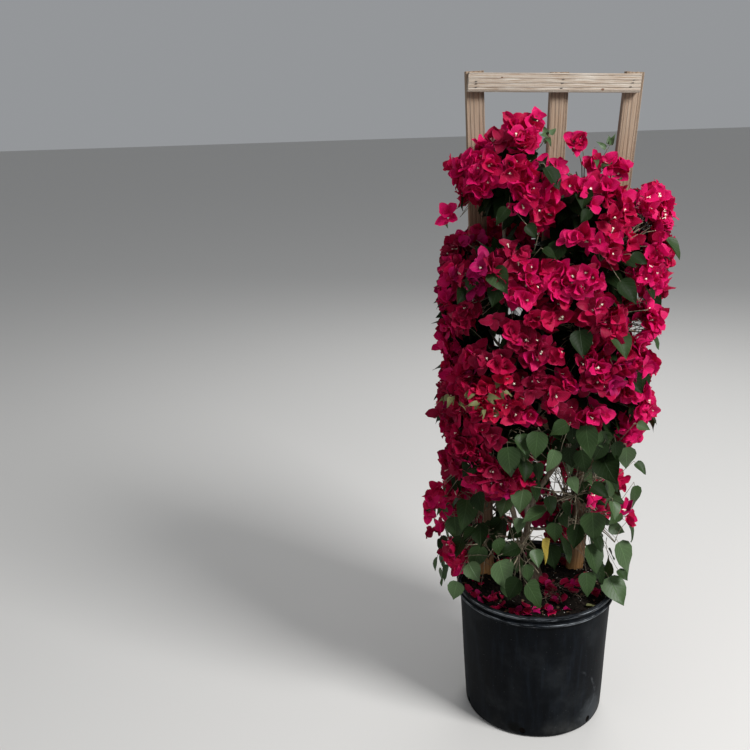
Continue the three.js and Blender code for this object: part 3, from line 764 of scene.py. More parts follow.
def wood_material(name, weathered):
    """Sawn pine: long grain lines, darker where the crown shades it and where it stands in the damp mix."""
    shader = Shader(f"pine_{name}", roughness=0.78, gloss=0.25)
    uv = shader.uv()
    place = shader.here()
    wander = shader.noise(shader.stretched(uv, 2.2, 48.0, 1.0), 1.0, 3.0) * 0.016
    across = shader.split(uv)[1] + wander
    late = shader.mask((across * (2 * math.pi / GRAIN_PITCH)).sine(), 0.1, 0.95)
    fibres = shader.noise(shader.stretched(uv, 14.0, 900.0, 1.0), 1.0, 6.0, 0.7)
    blotch = shader.noise(place, 7.0, 4.0)
    fresh = shader.blend(late * 0.55, PINE, PINE_DARK)
    pale = shader.blend(shader.mask(fibres, 0.35, 0.7), fresh, PINE_WEATHERED)
    worn = shader.blend(weathered, fresh, pale)
    stained = shader.blend(shader.mask(blotch, 0.5, 0.8) * 0.45, worn, PINE_BLOTCH)
    height = shader.split(place)[2]
    shaded = shader.blend(shader.mask(height, 1.36, 1.16) * 0.6, stained, PINE_SHADED)
    damp = shader.blend(shader.mask(height, 0.40, 0.29), shaded, PINE_DAMP)
    return shader.paint(damp, late * -0.6 + fibres, 0.8, 0.0014)


def plain_material(name, colour, roughness, grain, depth, gloss=0.5):
    """One colour that varies a little, with a fine grain."""
    shader = Shader(name, roughness=roughness, gloss=gloss)
    speckle = shader.noise(shader.here(), grain)
    mottled = shader.ramp(speckle, (0.3, tint(colour, 0.6)), (0.5, colour), (0.72, tint(colour, 1.35)))
    return shader.paint(mottled, speckle, 0.6, depth)


# Pot

def lathe(profile, steps):
    """The mesh of a profile of (r, z) turned about Z. u is the turn, from the back, and v the height."""
    profile = np.array(profile, float)
    turn = np.linspace(0, 2 * math.pi, steps + 1)
    r, z = profile[:, :1], profile[:, 1:]
    points = np.stack([r * -np.sin(turn), r * np.cos(turn), z + 0 * turn], -1).reshape(-1, 3)
    uvs = np.stack([0 * r + turn / (2 * math.pi), z / POT_HEIGHT + 0 * turn], -1).reshape(-1, 2)
    return points, grid_triangles(len(profile), steps + 1), uvs


def arc(centre, radius, start, end, count, squash=1.0):
    """Points (r, z) round an arc. Angles are in degrees, 0 outwards and 90 up."""
    turn = np.radians(np.linspace(start, end, count))
    return [(centre[0] + radius * math.cos(t), centre[1] + radius * squash * math.sin(t)) for t in turn]


def outside_at(z):
    return POT_BASE_R + (POT_TOP_R - POT_BASE_R) * z / POT_HEIGHT


def pot_profile():
    def ring(top):
        middle = (outside_at(top) + LIP_OUT * 0.3, top - LIP_HEIGHT / 2)
        return arc(middle, LIP_OUT * 0.7, -90, 90, 9, squash=LIP_HEIGHT / 2 / (LIP_OUT * 0.7))

    foot = arc((POT_BASE_R - POT_CORNER, POT_CORNER), POT_CORNER, -90, 0, 7)
    lower_top = POT_HEIGHT - LIP_HEIGHT - LIP_GROOVE
    side = [(outside_at(z), z) for z in np.linspace(POT_CORNER + 3, lower_top - LIP_HEIGHT - 1, 24)]
    inside = [(outside_at(z) - POT_WALL, z) for z in np.linspace(POT_HEIGHT - LIP_DROP, POT_FLOOR, 12)]
    floor = [(r, POT_FLOOR) for r in (100, 50, 0)]
    return [(0, 0), (60, 0), (120, 0), *foot, *side, *ring(lower_top), *ring(POT_HEIGHT), *inside, *floor]


def drain_holes():
    """Six oval plugs that cut the drain holes out of the wall's foot."""
    plugs = []
    sides = 20
    for i in range(DRAIN_HOLES):
        angle = math.radians(DRAIN_HOLE_TURN + 360 / DRAIN_HOLES * i)
        out = vec(math.sin(angle), -math.cos(angle), 0)
        reach = POT_BASE_R + np.array([[-12], [0], [12]])
        path = out * reach + vec(0, 0, DRAIN_HOLE_Z)
        points, triangles = tubes(path[None], np.full((1, 3), DRAIN_HOLE_R), sides)
        points[:, 2] = DRAIN_HOLE_Z + (points[:, 2] - DRAIN_HOLE_Z) * DRAIN_HOLE_STRETCH
        first = [(0, j + 1, j) for j in range(1, sides - 1)]
        plugs.append(with_uvs(points, np.concatenate([triangles, first])))
    return joined(plugs)


def make_pot():
    points, triangles, uvs = lathe(pot_profile(), 160)
    turn = np.arctan2(points[:, 0], -points[:, 1])
    reach = np.hypot(points[:, 0], points[:, 1]) / POT_TOP_R
    rise = np.clip(points[:, 2] / POT_HEIGHT, 0, 1)
    dent = 0.7 * np.sin(2 * turn + 1.1) * rise + 0.35 * np.sin(5 * turn + 9 * rise)
    dent += 0.25 * np.sin(11 * turn - 4 * rise)
    points[:, :2] *= (1 + dent * reach / POT_TOP_R)[:, None]
    plastic = plastic_material()
    pot = make_piece("pot_shell", (points, triangles, uvs), plastic, "pot_plastic", ["pot"])
    cutter = make_piece("hole_cutter", drain_holes(), plastic, "pot_plastic")
    pot.modifiers.new("weld", "WELD").merge_threshold = 0.00002
    cut = pot.modifiers.new("holes", "BOOLEAN")
    cut.operation = "DIFFERENCE"
    cut.object = cutter
    shaped = bpy.data.meshes.new_from_object(pot.evaluated_get(bpy.context.evaluated_depsgraph_get()))
    pot.modifiers.clear()
    pot.data = shaped
    bpy.data.objects.remove(cutter)
    shaped.polygons.foreach_set("use_smooth", np.full(len(shaped.polygons), True))
    shaped.set_sharp_from_angle(angle=math.radians(50))


# Bark mix in the pot

def soil_height(x, y):
    """How high the mix lies at a place: level in the middle, lower at the wall, and lumpy."""
    r = np.hypot(x, y)
    share = np.clip((r - SOIL_FLAT_R) / (POT_TOP_R - SOIL_FLAT_R), 0, 1)
    uneven = np.sin(x / 13 + 2) * np.cos(y / 17 - 1) + 0.6 * np.sin(x / 5.1 - y / 6.3)
    uneven = uneven + 0.5 * np.cos(x / 7.7 + y / 4.9)
    return SOIL_TOP - 2 + (SOIL_EDGE - SOIL_TOP) * share + 1.3 * uneven


def on_soil(x, y, rise):
    return np.stack([x, y, soil_height(x, y) + rise], -1)


def make_soil():
    rng = np.random.default_rng(SEEDS["mix"])
    wall = outside_at(SOIL_EDGE) - POT_WALL - 0.3
    rings = np.linspace(0, 1, 50)[:, None] * wall
    turn = np.linspace(0, 2 * math.pi, 180, endpoint=False)[None]
    x, y = rings * np.cos(turn), rings * np.sin(turn)
    z = soil_height(x, y) + rng.normal(0, 0.8, x.shape) * (rings > 0)
    surface = np.stack([x, y, z], -1)
    low = outside_at(POT_FLOOR) - POT_WALL - 0.6
    skirt = surface[-1:] * vec(low / wall, low / wall, 0) + vec(0, 0, POT_FLOOR + 0.5)
    points = np.concatenate([surface, skirt]).reshape(-1, 3)
    triangles = grid_triangles(len(rings) + 1, turn.size, wrap=True)
    earth = plain_material("damp_mix", DAMP_MIX, 0.95, 240.0, 0.003, 0.08)
    make_piece("mix_surface", with_uvs(points, triangles), earth, "bark_mix", ["soil"])
    for name, (count, size, colour) in CHIPS.items():
        make_chips(rng, name, count, size, colour)


def make_chips(rng, name, count, size, colour):
    """Bits that lie on the mix: rough lozenges, tilted a little."""
    corners = 6
    turn = np.linspace(0, 2 * math.pi, corners, endpoint=False)
    uneven = 1 + 0.22 * np.sin(turn * 3 + 1)
    rim = np.stack([np.cos(turn), np.sin(turn) * 0.9, 0 * turn], -1) * uneven[:, None]
    points = np.concatenate([rim + vec(0, 0, 0.45), rim * 0.8 - vec(0, 0, 0.6), [[0.1, 0, 0.8]]])
    after = [(i + 1) % corners for i in range(corners)]
    triangles = [(i, j, 2 * corners) for i, j in enumerate(after)]
    triangles += [(i, corners + i, corners + j) for i, j in enumerate(after)]
    triangles += [(i, corners + j, j) for i, j in enumerate(after)]
    shape = with_uvs(points, np.array(triangles))
    r = CHIPS_R * np.sqrt(rng.random(count))
    angle = rng.random(count) * 2 * math.pi
    origins = on_soil(r * np.cos(angle), r * np.sin(angle), 0.4 * size[2])
    up = unit(vec(0, 0, 1) + rng.normal(0, 0.28, (count, 3)))
    x = unit(np.cross(up, rng.normal(0, 1, (count, 3))))
    sizes = np.array(size) * rng.uniform(0.5, 1.5, (count, 3))
    axes = np.stack([x, np.cross(up, x), up], 1) * sizes[:, :, None]
    material = plain_material(name, colour, 0.9, 500.0, 0.0008, 0.12)
    make_piece(name, copies(shape, axes, origins), material, "bark_mix", smooth=False)


# Trellis

def turned(degrees, axis):
    return np.array(Matrix.Rotation(math.radians(degrees), 3, axis))


TRELLIS_AXES = turned(TRELLIS_TURN, "Z") @ turned(TRELLIS_LEAN, "Y")
TRELLIS_FOOT_AT = vec(TRELLIS_X, TRELLIS_Y, SOIL_TOP)


def leaned(points):
    """Places of the upright trellis, moved to the leaning one's."""
    return (points - vec(0, 0, SOIL_TOP)) @ TRELLIS_AXES.T + TRELLIS_FOOT_AT


def upright(points):
    return (points - TRELLIS_FOOT_AT) @ TRELLIS_AXES + vec(0, 0, SOIL_TOP)


def fan_half_at(z):
    return FAN_FOOT_HALF + (FAN_TOP_HALF - FAN_FOOT_HALF) * (z - SOIL_TOP) / (TRELLIS_TOP - SOIL_TOP)


def board_places():
    """Each board's name, length, axes and middle in the upright trellis's frame. Its x is its length."""
    boards = []
    tilt = math.degrees(math.atan((FAN_TOP_HALF - FAN_FOOT_HALF) / (TRELLIS_TOP - SOIL_TOP)))
    for name, side in (("left", -1), ("middle", 0), ("right", 1)):
        foot = RAIL_HEIGHTS["bottom"] - BOARD_WIDTH / 2 if side == 0 else SOIL_TOP - 20
        top = TRELLIS_TOP + UPRIGHT_TOPS[name]
        middle = (top + foot) / 2
        x = MIDDLE_OFFSET if side == 0 else side * fan_half_at(middle)
        axes = turned(side * tilt, "Y") @ turned(-90, "Y")
        length = (top - foot) / math.cos(math.radians(side * tilt))
        boards.append((f"trellis_upright_{name}", length, axes, vec(x, BOARD_THICK / 2 + GAP, middle)))
    for name, height in RAIL_HEIGHTS.items():
        length = 2 * (fan_half_at(height) + RAIL_OVERHANG)
        place = vec(RAIL_OFFSET, -BOARD_THICK / 2, height)
        boards.append((f"trellis_rail_{name}", length, turned(RAIL_SLOPE, "Y"), place))
    return boards


def board_mesh(length, rng, frayed):
    """A sawn board along x: eased edges, ridged grain on its faces and rough ends."""
    steps = max(24, int(length / 6))
    x = np.linspace(-length / 2, length / 2, steps)
    half_y, half_z, ease = BOARD_THICK / 2, BOARD_WIDTH / 2, 1.2
    section = []
    for sign_y, sign_z in ((-1, -1), (1, -1), (1, 1), (-1, 1)):
        corner = [(-1, 0), (-0.3, -0.3), (0, -1)]
        if sign_y * sign_z < 0:
            corner = corner[::-1]
        for a, b in corner:
            section.append((sign_y * (half_y - ease * (1 + a)), sign_z * (half_z - ease * (1 + b))))
    ring = []
    for (y0, z0), (y1, z1) in zip(section, section[1:] + section[:1]):
        pieces = 1 if math.dist((y0, z0), (y1, z1)) < 3 else 9
        ring += [(mix(y0, y1, s), mix(z0, z1, s)) for s in np.arange(pieces) / pieces]
    ring = np.array(ring)
    around = len(ring)
    grain = waves(around, rng, 5.3, (1.0, 0.7, 0.6)) * 0.16
    drift = waves(steps, rng, 60, (1.0, 0.4))
    rng.random(4)  # not used, but the draws after it keep their place
    out = unit(ring * vec(1 / half_y, 1 / half_z) ** 5)
    ripple = grain[None] * (1 + 0.3 * drift[:, None]) + rng.normal(0, 0.035, (steps, around))
    places = ring[None] - out[None] * np.clip(ripple + 0.2, 0, 1)[..., None]
    points = np.concatenate([np.broadcast_to(x[:, None, None], (steps, around, 1)), places], -1)
    points[0, :, 0] += rng.random(around) * 1.2
    points[-1, :, 0] -= rng.random(around) * 1.2
    if frayed:
        high = np.clip((ring[:, 1] / half_z - 0.35) / 0.65, 0, 1)
        points[0, :, 0] += 5.0 * high * rng.random(around)
        points[1, :, 2] -= 0.6 * high
    ends = np.array([points[0].mean(axis=0), points[-1].mean(axis=0)])
    whole = np.concatenate([points.reshape(-1, 3), ends])
    walls = grid_triangles(steps, around, wrap=True)
    first = [(steps * around, (i + 1) % around, i) for i in range(around)]
    last_ring = (steps - 1) * around
    last = [(steps * around + 1, last_ring + i, last_ring + (i + 1) % around) for i in range(around)]
    travel = np.concatenate([[0], np.cumsum(np.linalg.norm(np.diff(ring, axis=0), axis=1))])
    uvs = np.stack([points[..., 0], np.broadcast_to(travel, (steps, around))], -1).reshape(-1, 2)
    uvs = np.concatenate([uvs, [[-length / 2, 0], [length / 2, 0]]]) * MM
    return whole, np.concatenate([walls, first, last]), uvs


def make_trellis():
    rng = np.random.default_rng(SEEDS["boards"])
    for i, (name, length, axes, middle) in enumerate(board_places()):
        top = name == "trellis_rail_top"
        points, triangles, uvs = board_mesh(length, rng, top)
        mesh = leaned(points @ axes.T + middle), triangles, uvs + vec(0.37 * i, 0.051 * i)
        wood = wood_material(name, 0.85 if top else 0.25)
        make_piece(f"{name}_board", mesh, wood, "lumber", [name], smooth=False)
    make_staples()
    make_knots()


def make_staples():
    """Staples that hold the rails to the uprights, each a short stroke."""
    paths = []
    half = vec(*STAPLE_HALF)
    for rail, side, shift, slant, spread in STAPLED:
        height = RAIL_HEIGHTS[rail]
        x = MIDDLE_OFFSET if side == 0 else side * fan_half_at(height)
        lean = math.radians(slant)
        for row in (-1.0, 0.1, 0.9):
            at = vec(x + shift + row * spread * math.sin(lean), -BOARD_THICK - 0.1, height - 2 + row * spread)
            paths.append(np.stack([at - half, at + half]))
    paths = leaned(np.array(paths))
    metal = plain_material("staple_steel", STEEL, 0.6, 700.0, 0.0002)
    make_piece("staples", with_uvs(*tubes(paths, np.full(paths.shape[:2], STAPLE_R), 5)), metal, "lumber")


def make_knots():
    """Two oval knots, raised a little from the top rail's face."""
    sides = 16
    turn = np.linspace(0, 2 * math.pi, sides, endpoint=False)
    face = -BOARD_THICK - 0.12
    knots = []
    for x, above, size in KNOTS:
        z = RAIL_HEIGHTS["top"] + above
        rim = np.stack([x + size * 1.5 * np.cos(turn), face + 0 * turn, z + size * np.sin(turn)], -1)
        fan = np.array([(sides, (i + 1) % sides, i) for i in range(sides)])
        knots.append(with_uvs(leaned(np.concatenate([rim, [[x, face - 0.15, z]]])), fan))
    make_piece("knots", joined(knots), plain_material("knot_wood", KNOT, 0.8, 600.0, 0.0004), "lumber")


# Limbs

def beside(side, z):
    """A place beside an upright's edge, just in front of the rails."""
    return leaned(vec(side * (fan_half_at(z) - CANE_INSET), -BOARD_THICK - CANE_OFF, z))


def limb_routes():
    """The corners of the trunk's and the canes' routes."""
    fork = vec(-24, 22, 428)
    right = [fork + vec(4, -1, -20), vec(0, 22, 524), vec(34, 20, 588), vec(86, 22, 668)]
    left = [fork + vec(0, -1, -22), vec(-54, 20, 500), vec(-78, 21, 600)]
    middle = [vec(-16, 20, 474), vec(-22, 10, 540), vec(-10, 18, 640)]
    return {
        "trunk": [vec(4, 17, SOIL_TOP), vec(3, 17, 336), vec(-4, 19, 376), fork],
        "right": right + [beside(1, z) for z in (840, 1020, CANE_TOP)],
        "left": left + [beside(-1, z) for z in (760, 980, CANE_TOP)],
        "middle": middle + [beside(0, z) for z in (800, 1110)],
    }


def bark_limb(corners, start, end, sides, rng, flare=0.0, relief=0.1, overshoot=0.0):
    """A limb's mesh: tapering, knobbed at its joints, ridged along its length."""
    corners = [np.array(c, float) for c in corners]
    if overshoot:
        corners[0] = corners[0] + unit(corners[0] - corners[1]) * overshoot
    length = sum(np.linalg.norm(b - a) for a, b in zip(corners, corners[1:]))
    rings = max(6, int(length / 7))
    path = smooth_route(corners, rings)
    share = np.linspace(0, 1, rings)
    radii = start + (end - start) * share**TAPER + flare * np.exp(-9 * share)
    swell = 1 + 0.06 * waves(rings, rng, 9)
    radii = radii * (swell + 0.16 * np.maximum(0, waves(rings, rng, 13, (1.0,)) - 0.8))
    angle = 2 * math.pi * np.arange(sides) / sides
    drift = waves(rings, rng, 25, (1.0, 0.5))[:, None]
    ridges = np.sin(3 * angle + drift) + 0.6 * np.sin(5 * angle - 1.4 * drift + 1)
    radii = radii[:, None] * (1 + relief * ridges)
    path = path + np.stack([waves(rings, rng, 14), waves(rings, rng, 17), 0 * share], -1) * 0.22 * end
    return with_uvs(*tubes(path[None], radii[None], sides))


def make_limbs(masses):
    rng = np.random.default_rng(SEEDS["limbs"])
    bark = bark_material()
    routes = limb_routes()
    limbs = [bark_limb(routes["trunk"], *TRUNK_RADII, 18, rng, TRUNK_FLARE, relief=0.12, overshoot=6)]
    for side, foot_radius in CANE_FOOT_R.items():
        limbs.append(bark_limb(routes[side], foot_radius, CANE_TO, 12, rng, relief=0.09, overshoot=10))
    make_piece("trunk_and_canes", joined(limbs), bark, "bark", named("cane_") + ["trunk"])
    boughs = [bark_limb(m.bough, BOUGH_FROM, BOUGH_TO, 8, rng, relief=0.07, overshoot=3) for m in masses]
    make_piece("boughs", joined(boughs), bark, "bark", named("bough_"))


# The crown's masses

class Mass:
    """One mass of blossom, or a leafy one: its space, and the bough and stem that bear it."""

    def __init__(self, form, side, number, leafy, cane):
        right = side == "right"
        self.leafy = leafy
        half_x, half_y, half_z = form["half"]
        self.centre = vec(form["x"][right], form["y"], form["z"][right])
        self.size = vec(half_x[right], half_y, half_z)
        self.seed = SPRAY_SEED + SEED_STEP * number
        start = cane[np.abs(cane[:, 2] - form["bough"][right]).argmin()]
        tip = self.centre + (start - self.centre) * BOUGH_END / self.outness(start)
        bend = (start + tip) / 2 - vec(0, 0, BOUGH_SAG * np.linalg.norm(tip - start))
        self.bough = [start, bend, tip]
        self.stem = [tip, self.centre]

    def outness(self, points):
        """0 at the centre and 1 at the limit of the mass's space."""
        return np.linalg.norm((points - self.centre) / self.size, axis=-1)


def crown_masses():
    routes = limb_routes()
    canes = {side: smooth_route(routes[side], 201) for side in ("left", "right")}
    masses = []
    for forms, leafy in ((DENSE, False), (OPEN, True)):
        for form in forms.values():
            for side, cane in canes.items():
                masses.append(Mass(form, side, len(masses), leafy, cane))
    return masses


def in_box(points, margin):
    """Which of the points lie in the CAD model's box, grown by a margin."""
    low, high = (vec(*corner) / MM for corner in CAD_BOX)
    return np.all((points > low - margin) & (points < high + margin), axis=-1)


def clear_of_wood(points, margin):
    """True for groups of points (count, n, 3) that touch no board or the pot."""
    local = upright(points)
    free = np.ones(points.shape[:-1], bool)
    for _, length, axes, middle in board_places():
        inside = np.abs((local - middle) @ axes)
        free &= ~np.all(inside < vec(length / 2, BOARD_THICK / 2, BOARD_WIDTH / 2) + margin, axis=-1)
    over_pot = np.hypot(points[..., 0], points[..., 1]) < POT_TOP_R + LIP_OUT + margin
    free &= ~(over_pot & (points[..., 2] < POT_HEIGHT + margin))
    return free.all(axis=-1)


# Foliage shapes, one unit long, rooted at the origin along x, with their upper side towards z

def blade(along, columns, rng, width, fold, droop, widest, blunt, wave):
    """A leaf's or bract's blade, fuller where blunt is low, and broadest nearer its foot where widest is."""
    outline = np.sin(math.pi * along**widest) ** blunt
    half = width / 2 * outline / outline.max()
    across = np.linspace(-1, 1, columns)
    half, row, across = half[:, None], along[:, None], across[None]
    x = row - 0.03 * across**2
    y = half * across
    phase = rng.random(4) * 2 * math.pi
    rise = fold * np.abs(across) ** 1.6 * half - droop * row**2
    rise = rise + wave * np.sin(7 * row + phase[0] + 2 * np.sign(across)) * np.abs(across) ** 2
    rise = rise + 0.4 * wave * np.sin(13 * row + phase[1]) * across
    points = np.stack([x + 0 * y, y, rise], -1)
    uvs = np.stack([0 * x + (across + 1) / 2, 0 * y + row], -1)
    inner = points.reshape(-1, 3)
    count = len(inner)
    whole = np.concatenate([[[0, 0, 0]], inner, [[1.02, 0, -droop * 1.04]]])
    where = np.concatenate([[[0.5, 0]], uvs.reshape(-1, 2), [[0.5, 1]]])
    foot = [(0, 1 + i, 2 + i) for i in range(columns - 1)]
    top = count - columns + 1
    tip = [(count + 1, top + i + 1, top + i) for i in range(columns - 1)]
    triangles = grid_triangles(len(along), columns)[:, ::-1] + 1
    return whole, np.concatenate([triangles, foot, tip]), where


def blade_shapes(count, seed, rows, columns, **form):
    """Blades of one form. Each differs in what the form gives as a pair."""
    rng = np.random.default_rng(seed)
    shapes = []
    for _ in range(count):
        drawn = {k: rng.uniform(*size) if isinstance(size, tuple) else size for k, size in form.items()}
        shapes.append(blade(np.array(rows), columns, rng, **drawn))
    return shapes


def flower_shape():
    """A little tubular flower with a five-pointed star for a mouth, one unit long."""
    sides = 5
    turn = 2 * math.pi * np.arange(sides) / sides

    def ring(x, r, shift=0.0):
        return np.stack([x + 0 * turn, r * np.cos(turn + shift), r * np.sin(turn + shift)], -1)

    tube = [ring(0, 0.05), ring(0.94, 0.1)]
    points = np.concatenate([*tube, ring(1.0, 0.27, math.pi / sides), [[0.88, 0, 0]]])
    mouth = [(sides + i, sides + (i + 1) % sides) for i in range(sides)]
    star = [(a, 2 * sides + i, b) for i, (a, b) in enumerate(mouth)]
    cup = [(3 * sides, a, b) for a, b in mouth]
    return with_uvs(points, np.concatenate([grid_triangles(2, sides, wrap=True), star, cup]))


# The crown's growth

class Crown:
    """The masses, the shapes that grow in them, those placed so far, and the spots that leaves take."""

    def __init__(self, masses):
        self.masses = masses
        self.bracts, self.leaves, self.inner_leaves, self.young_leaves = (
            blade_shapes(**form) for form in BLADES.values()
        )
        self.flower = flower_shape()
        self.placed = {}
        self.leaf_spots = []

    def add(self, kind, shape, axes, origins):
        if len(axes):
            self.placed.setdefault(kind, []).append(copies(shape, axes, origins))

    def add_tubes(self, kind, paths, radii, sides):
        if len(paths):
            self.placed.setdefault(kind, []).append(with_uvs(*tubes(paths, radii, sides)))

    def in_own_space(self, mass, points, limit=1.0):
        """True where a point is inside a mass's space, and at most a little further inside another's."""
        own = mass.outness(points)
        kept = own <= limit
        for other in self.masses:
            if other is not mass:
                kept &= own <= other.outness(points) + 0.04
        return kept

    def field(self, points):
        """1 at the crown's skin and more inside. The dense masses' spaces run into each other smoothly."""
        dense = (mass for mass in self.masses if not mass.leafy)
        return sum(np.exp(SPREAD_OF_SPACES * (1 - mass.outness(points) ** 2)) for mass in dense)

    def reach(self, mass, rays):
        """How far along each ray from a mass's centre the crown's skin lies, as a share of it, 1 at least."""
        reach = np.ones(len(rays))
        for share in np.arange(1.03, 1.2, 0.03):
            reach[self.field(mass.centre + rays * share) >= 1] = share
        return reach

    def skin_seen_at(self, x, y, sunk):
        """The place on the crown's skin that shows at pixel x, y, or so much deeper than it."""
        depths = np.arange(-206, 120, 4)
        places = np.array([place_seen_at(x, y, d) for d in depths])
        field = self.field(places)
        for mass in self.masses:
            if mass.leafy:
                field = np.maximum(field, np.where(mass.outness(places) < 0.96, 2, 0))
        first = (field > 0.85).argmax() if field.max() > 0.85 else field.argmax()
        return place_seen_at(x, y, depths[first] + sunk)

    def nearest_wood(self, points, low, rng):
        """For each point, one of the nearest on the boughs and stems of the low masses, or of the others."""
        along = np.linspace(0, 1, 12)[:, None]
        limbs = [limb for mass in self.masses if mass.leafy == low for limb in (mass.bough[1:], mass.stem)]
        wood = np.concatenate([mix(a, b, along) for a, b in limbs])
        gap = np.linalg.norm(points[:, None] - wood[None], axis=-1)
        return wood[(gap * rng.uniform(0.7, 1.6, gap.shape)).argmin(axis=1)]


def facing(along, up):
    """Axes (count, 3, 3) whose x is along and whose z is as near to up as it can be."""
    x = unit(along)
    y = unit(np.cross(up, x))
    return np.stack([x, y, np.cross(x, y)], 1)


def open_blooms(crown, shades, at, axis, size, rng):
    """Blooms of three bracts round an axis, with little flowers in the middle. Each has its own shade."""
    kept = ~in_spots(at + axis * 12, SKY, 6)
    shades, at, axis, size = shades[kept], at[kept], axis[kept], size[kept]
    count = len(at)
    if not count:
        return
    hint = np.where(np.abs(axis[:, 2:]) > 0.9, vec(1, 0, 0), vec(0, 0, 1))
    across = unit(np.cross(axis, hint))
    other = np.cross(axis, across)
    turn = rng.random(count) * 2 * math.pi
    openness = np.radians(rng.uniform(26, 66, count))
    for i, flower_share in enumerate((0.4, 0.14, 0.04)):
        around = turn + i * 2 * math.pi / 3 + rng.normal(0, 0.12, count)
        spread = openness + rng.normal(0, 0.12, count)
        out = across * np.cos(around)[:, None] + other * np.sin(around)[:, None]
        along = axis * np.cos(spread)[:, None] + out * np.sin(spread)[:, None]
        inner = axis * np.sin(spread)[:, None] - out * np.cos(spread)[:, None]
        tilt = rng.normal(0, 0.15, count)[:, None]
        inner = unit(inner + np.cross(along, inner) * tilt)
        length = size * rng.uniform(0.88, 1.08, count)
        axes = facing(along, inner) * length[:, None, None]
        foot = at + out * 1.5
        kind = rng.integers(0, len(crown.bracts), count)
        reached = np.stack([foot + along * (length * share)[:, None] for share in (0.3, 0.65, 1.0)], 1)
        free = clear_of_wood(reached, 1.0) & in_box(foot + along * length[:, None], 17)
        for j, shape in enumerate(crown.bracts):
            for shade in sorted(set(shades)):
                chosen = (kind == j) & free & (shades == shade)
                crown.add(f"bracts_{shade}", shape, axes[chosen], foot[chosen])
        shown = (rng.random(count) < flower_share) & free
        flower_way = unit(axis + out * rng.uniform(0.1, 0.5, (count, 1)))
        flower_axes = facing(flower_way, out) * (size * 0.42)[:, None, None]
        crown.add("flowers", crown.flower, flower_axes[shown], at[shown])


def hang_leaves(crown, shade, shapes, at, along, up, size, rng, margin=1.0):
    """Leaves on short stalks from their twig."""
    count = len(at)
    if not count:
        return
    root = at + unit(along) * (size * 0.16)[:, None]
    axes = facing(along, up) * size[:, None, None]
    middle = root + unit(along) * (size * 0.5)[:, None]
    tip = root + unit(along) * size[:, None]
    edge = axes[:, 1] * 0.36
    free = clear_of_wood(np.stack([root, middle + edge, middle - edge, tip], 1), margin)
    free &= ~in_spots(middle, SKY, 6) & in_box(tip, 15)
    kind = rng.integers(0, len(shapes), count)
    for j, shape in enumerate(shapes):
        chosen = (kind == j) & free
        crown.add(f"leaves_{shade}", shape, axes[chosen], root[chosen])
    stalks = np.stack([at, (at + root) / 2 + vec(0, 0, 0.6), root + axes[:, 0] * 0.03], 1)[free]
    crown.add_tubes("twigs", stalks, np.tile(vec(0.75, 0.6, 0.5), (len(stalks), 1)), 3)


def add_twigs(crown, starts, ends, radii, rng, sag=0.08):
    """Thin twigs from starts to ends, each bent a little."""
    rings, sides = (4, 3) if radii[0] < 1.5 else (5, 4)
    length = np.linalg.norm(ends - starts, axis=1)[:, None]
    bend = rng.normal(0, 0.06, starts.shape) * length + vec(0, 0, 1) * sag * length
    share = np.linspace(0, 1, rings)[None, :, None]
    paths = starts[:, None] * (1 - share) + ends[:, None] * share + bend[:, None] * np.sin(math.pi * share)
    crown.add_tubes("twigs", paths, np.broadcast_to(np.linspace(*radii, rings), (len(starts), rings)), sides)


def spray_direction(k, tries, random):
    height = 1 - 2 * (k + 0.5) / tries + 0.12 * (random() - 0.5)
    turn = k * GOLDEN_ANGLE + 0.5 * (random() - 0.5)
    level = math.sqrt(max(0.0, 1 - height * height))
    return vec(level * math.cos(turn), level * math.sin(turn), height)


def shows_outside(mass, direction):
    out = unit(vec(mass.centre[0] - CROWN_X, mass.centre[1] - CROWN_Y, 0))
    return direction @ out > -0.1 or mass.centre[2] > 1150 or direction[2] > 0.7


def lumps(points):
    """Rises and hollows about as wide as a cluster of blooms, mostly between -1 and 1."""
    rng = np.random.default_rng(SEEDS["lumps"])
    ways = unit(rng.normal(0, 1, (9, 3))) * (2 * math.pi / rng.uniform(75, 150, 9))[:, None]
    return np.sin(points @ ways.T + rng.uniform(0, 6.3, 9)).sum(axis=1) / 3


def below_top_line(points, pixels):
    """Which of the points lie at least so many pixels under the crown's upper edge in the frame."""
    seen = seen_at(points)
    return seen[:, 1] > np.interp(seen[:, 0], *np.transpose(TOP_LINE)) + pixels


def kept_free(leaves, half_width, half_height):
    """The spots that leaves of the frame take up. Their half sizes are given as shares of a leaf's length."""
    return [(x, y, half_width * length, half_height * length) for x, y, length, _ in leaves]


def pick_shade(rng, place):
    """A bloom's shade: one of the crimsons. Paler ones are commoner high up and on the right, and the deep
    ones low down and on the left: painted light and shade.
    """
    if in_spots(place[None], YOUNG)[0] and place[1] < YOUNG_FRONT and rng.random() < 0.45:
        return "scarlet"
    shares = np.array(CRIMSON_SHARES)
    if place[2] > PAINTED_LIGHT_ABOVE or place[0] > PAINTED_LIGHT_RIGHT_OF:
        shares = shares * PAINTED_LIGHT_SHARES
    elif place[2] < PAINTED_SHADE_BELOW or place[0] < PAINTED_SHADE_LEFT_OF:
        shares = shares * PAINTED_SHADE_SHARES
    return list(CRIMSONS)[rng.choice(len(shares), p=shares / shares.sum())]


def pick_shades(rng, place, count):
    """The shades of one spray's blooms, mostly the same."""
    spray = pick_shade(rng, place)
    return np.array([pick_shade(rng, place) if rng.random() < 0.35 else spray for _ in range(count)])


def apart(points, placed, limit, most):
    """Which of the points keep a distance from each other and from those already placed, which they join."""
    kept = []
    for i, point in enumerate(points):
        if len(kept) < most and min((math.dist(point, other) for other in placed), default=1e9) > limit:
            placed.append(point)
            kept.append(i)
    return np.array(kept, int)


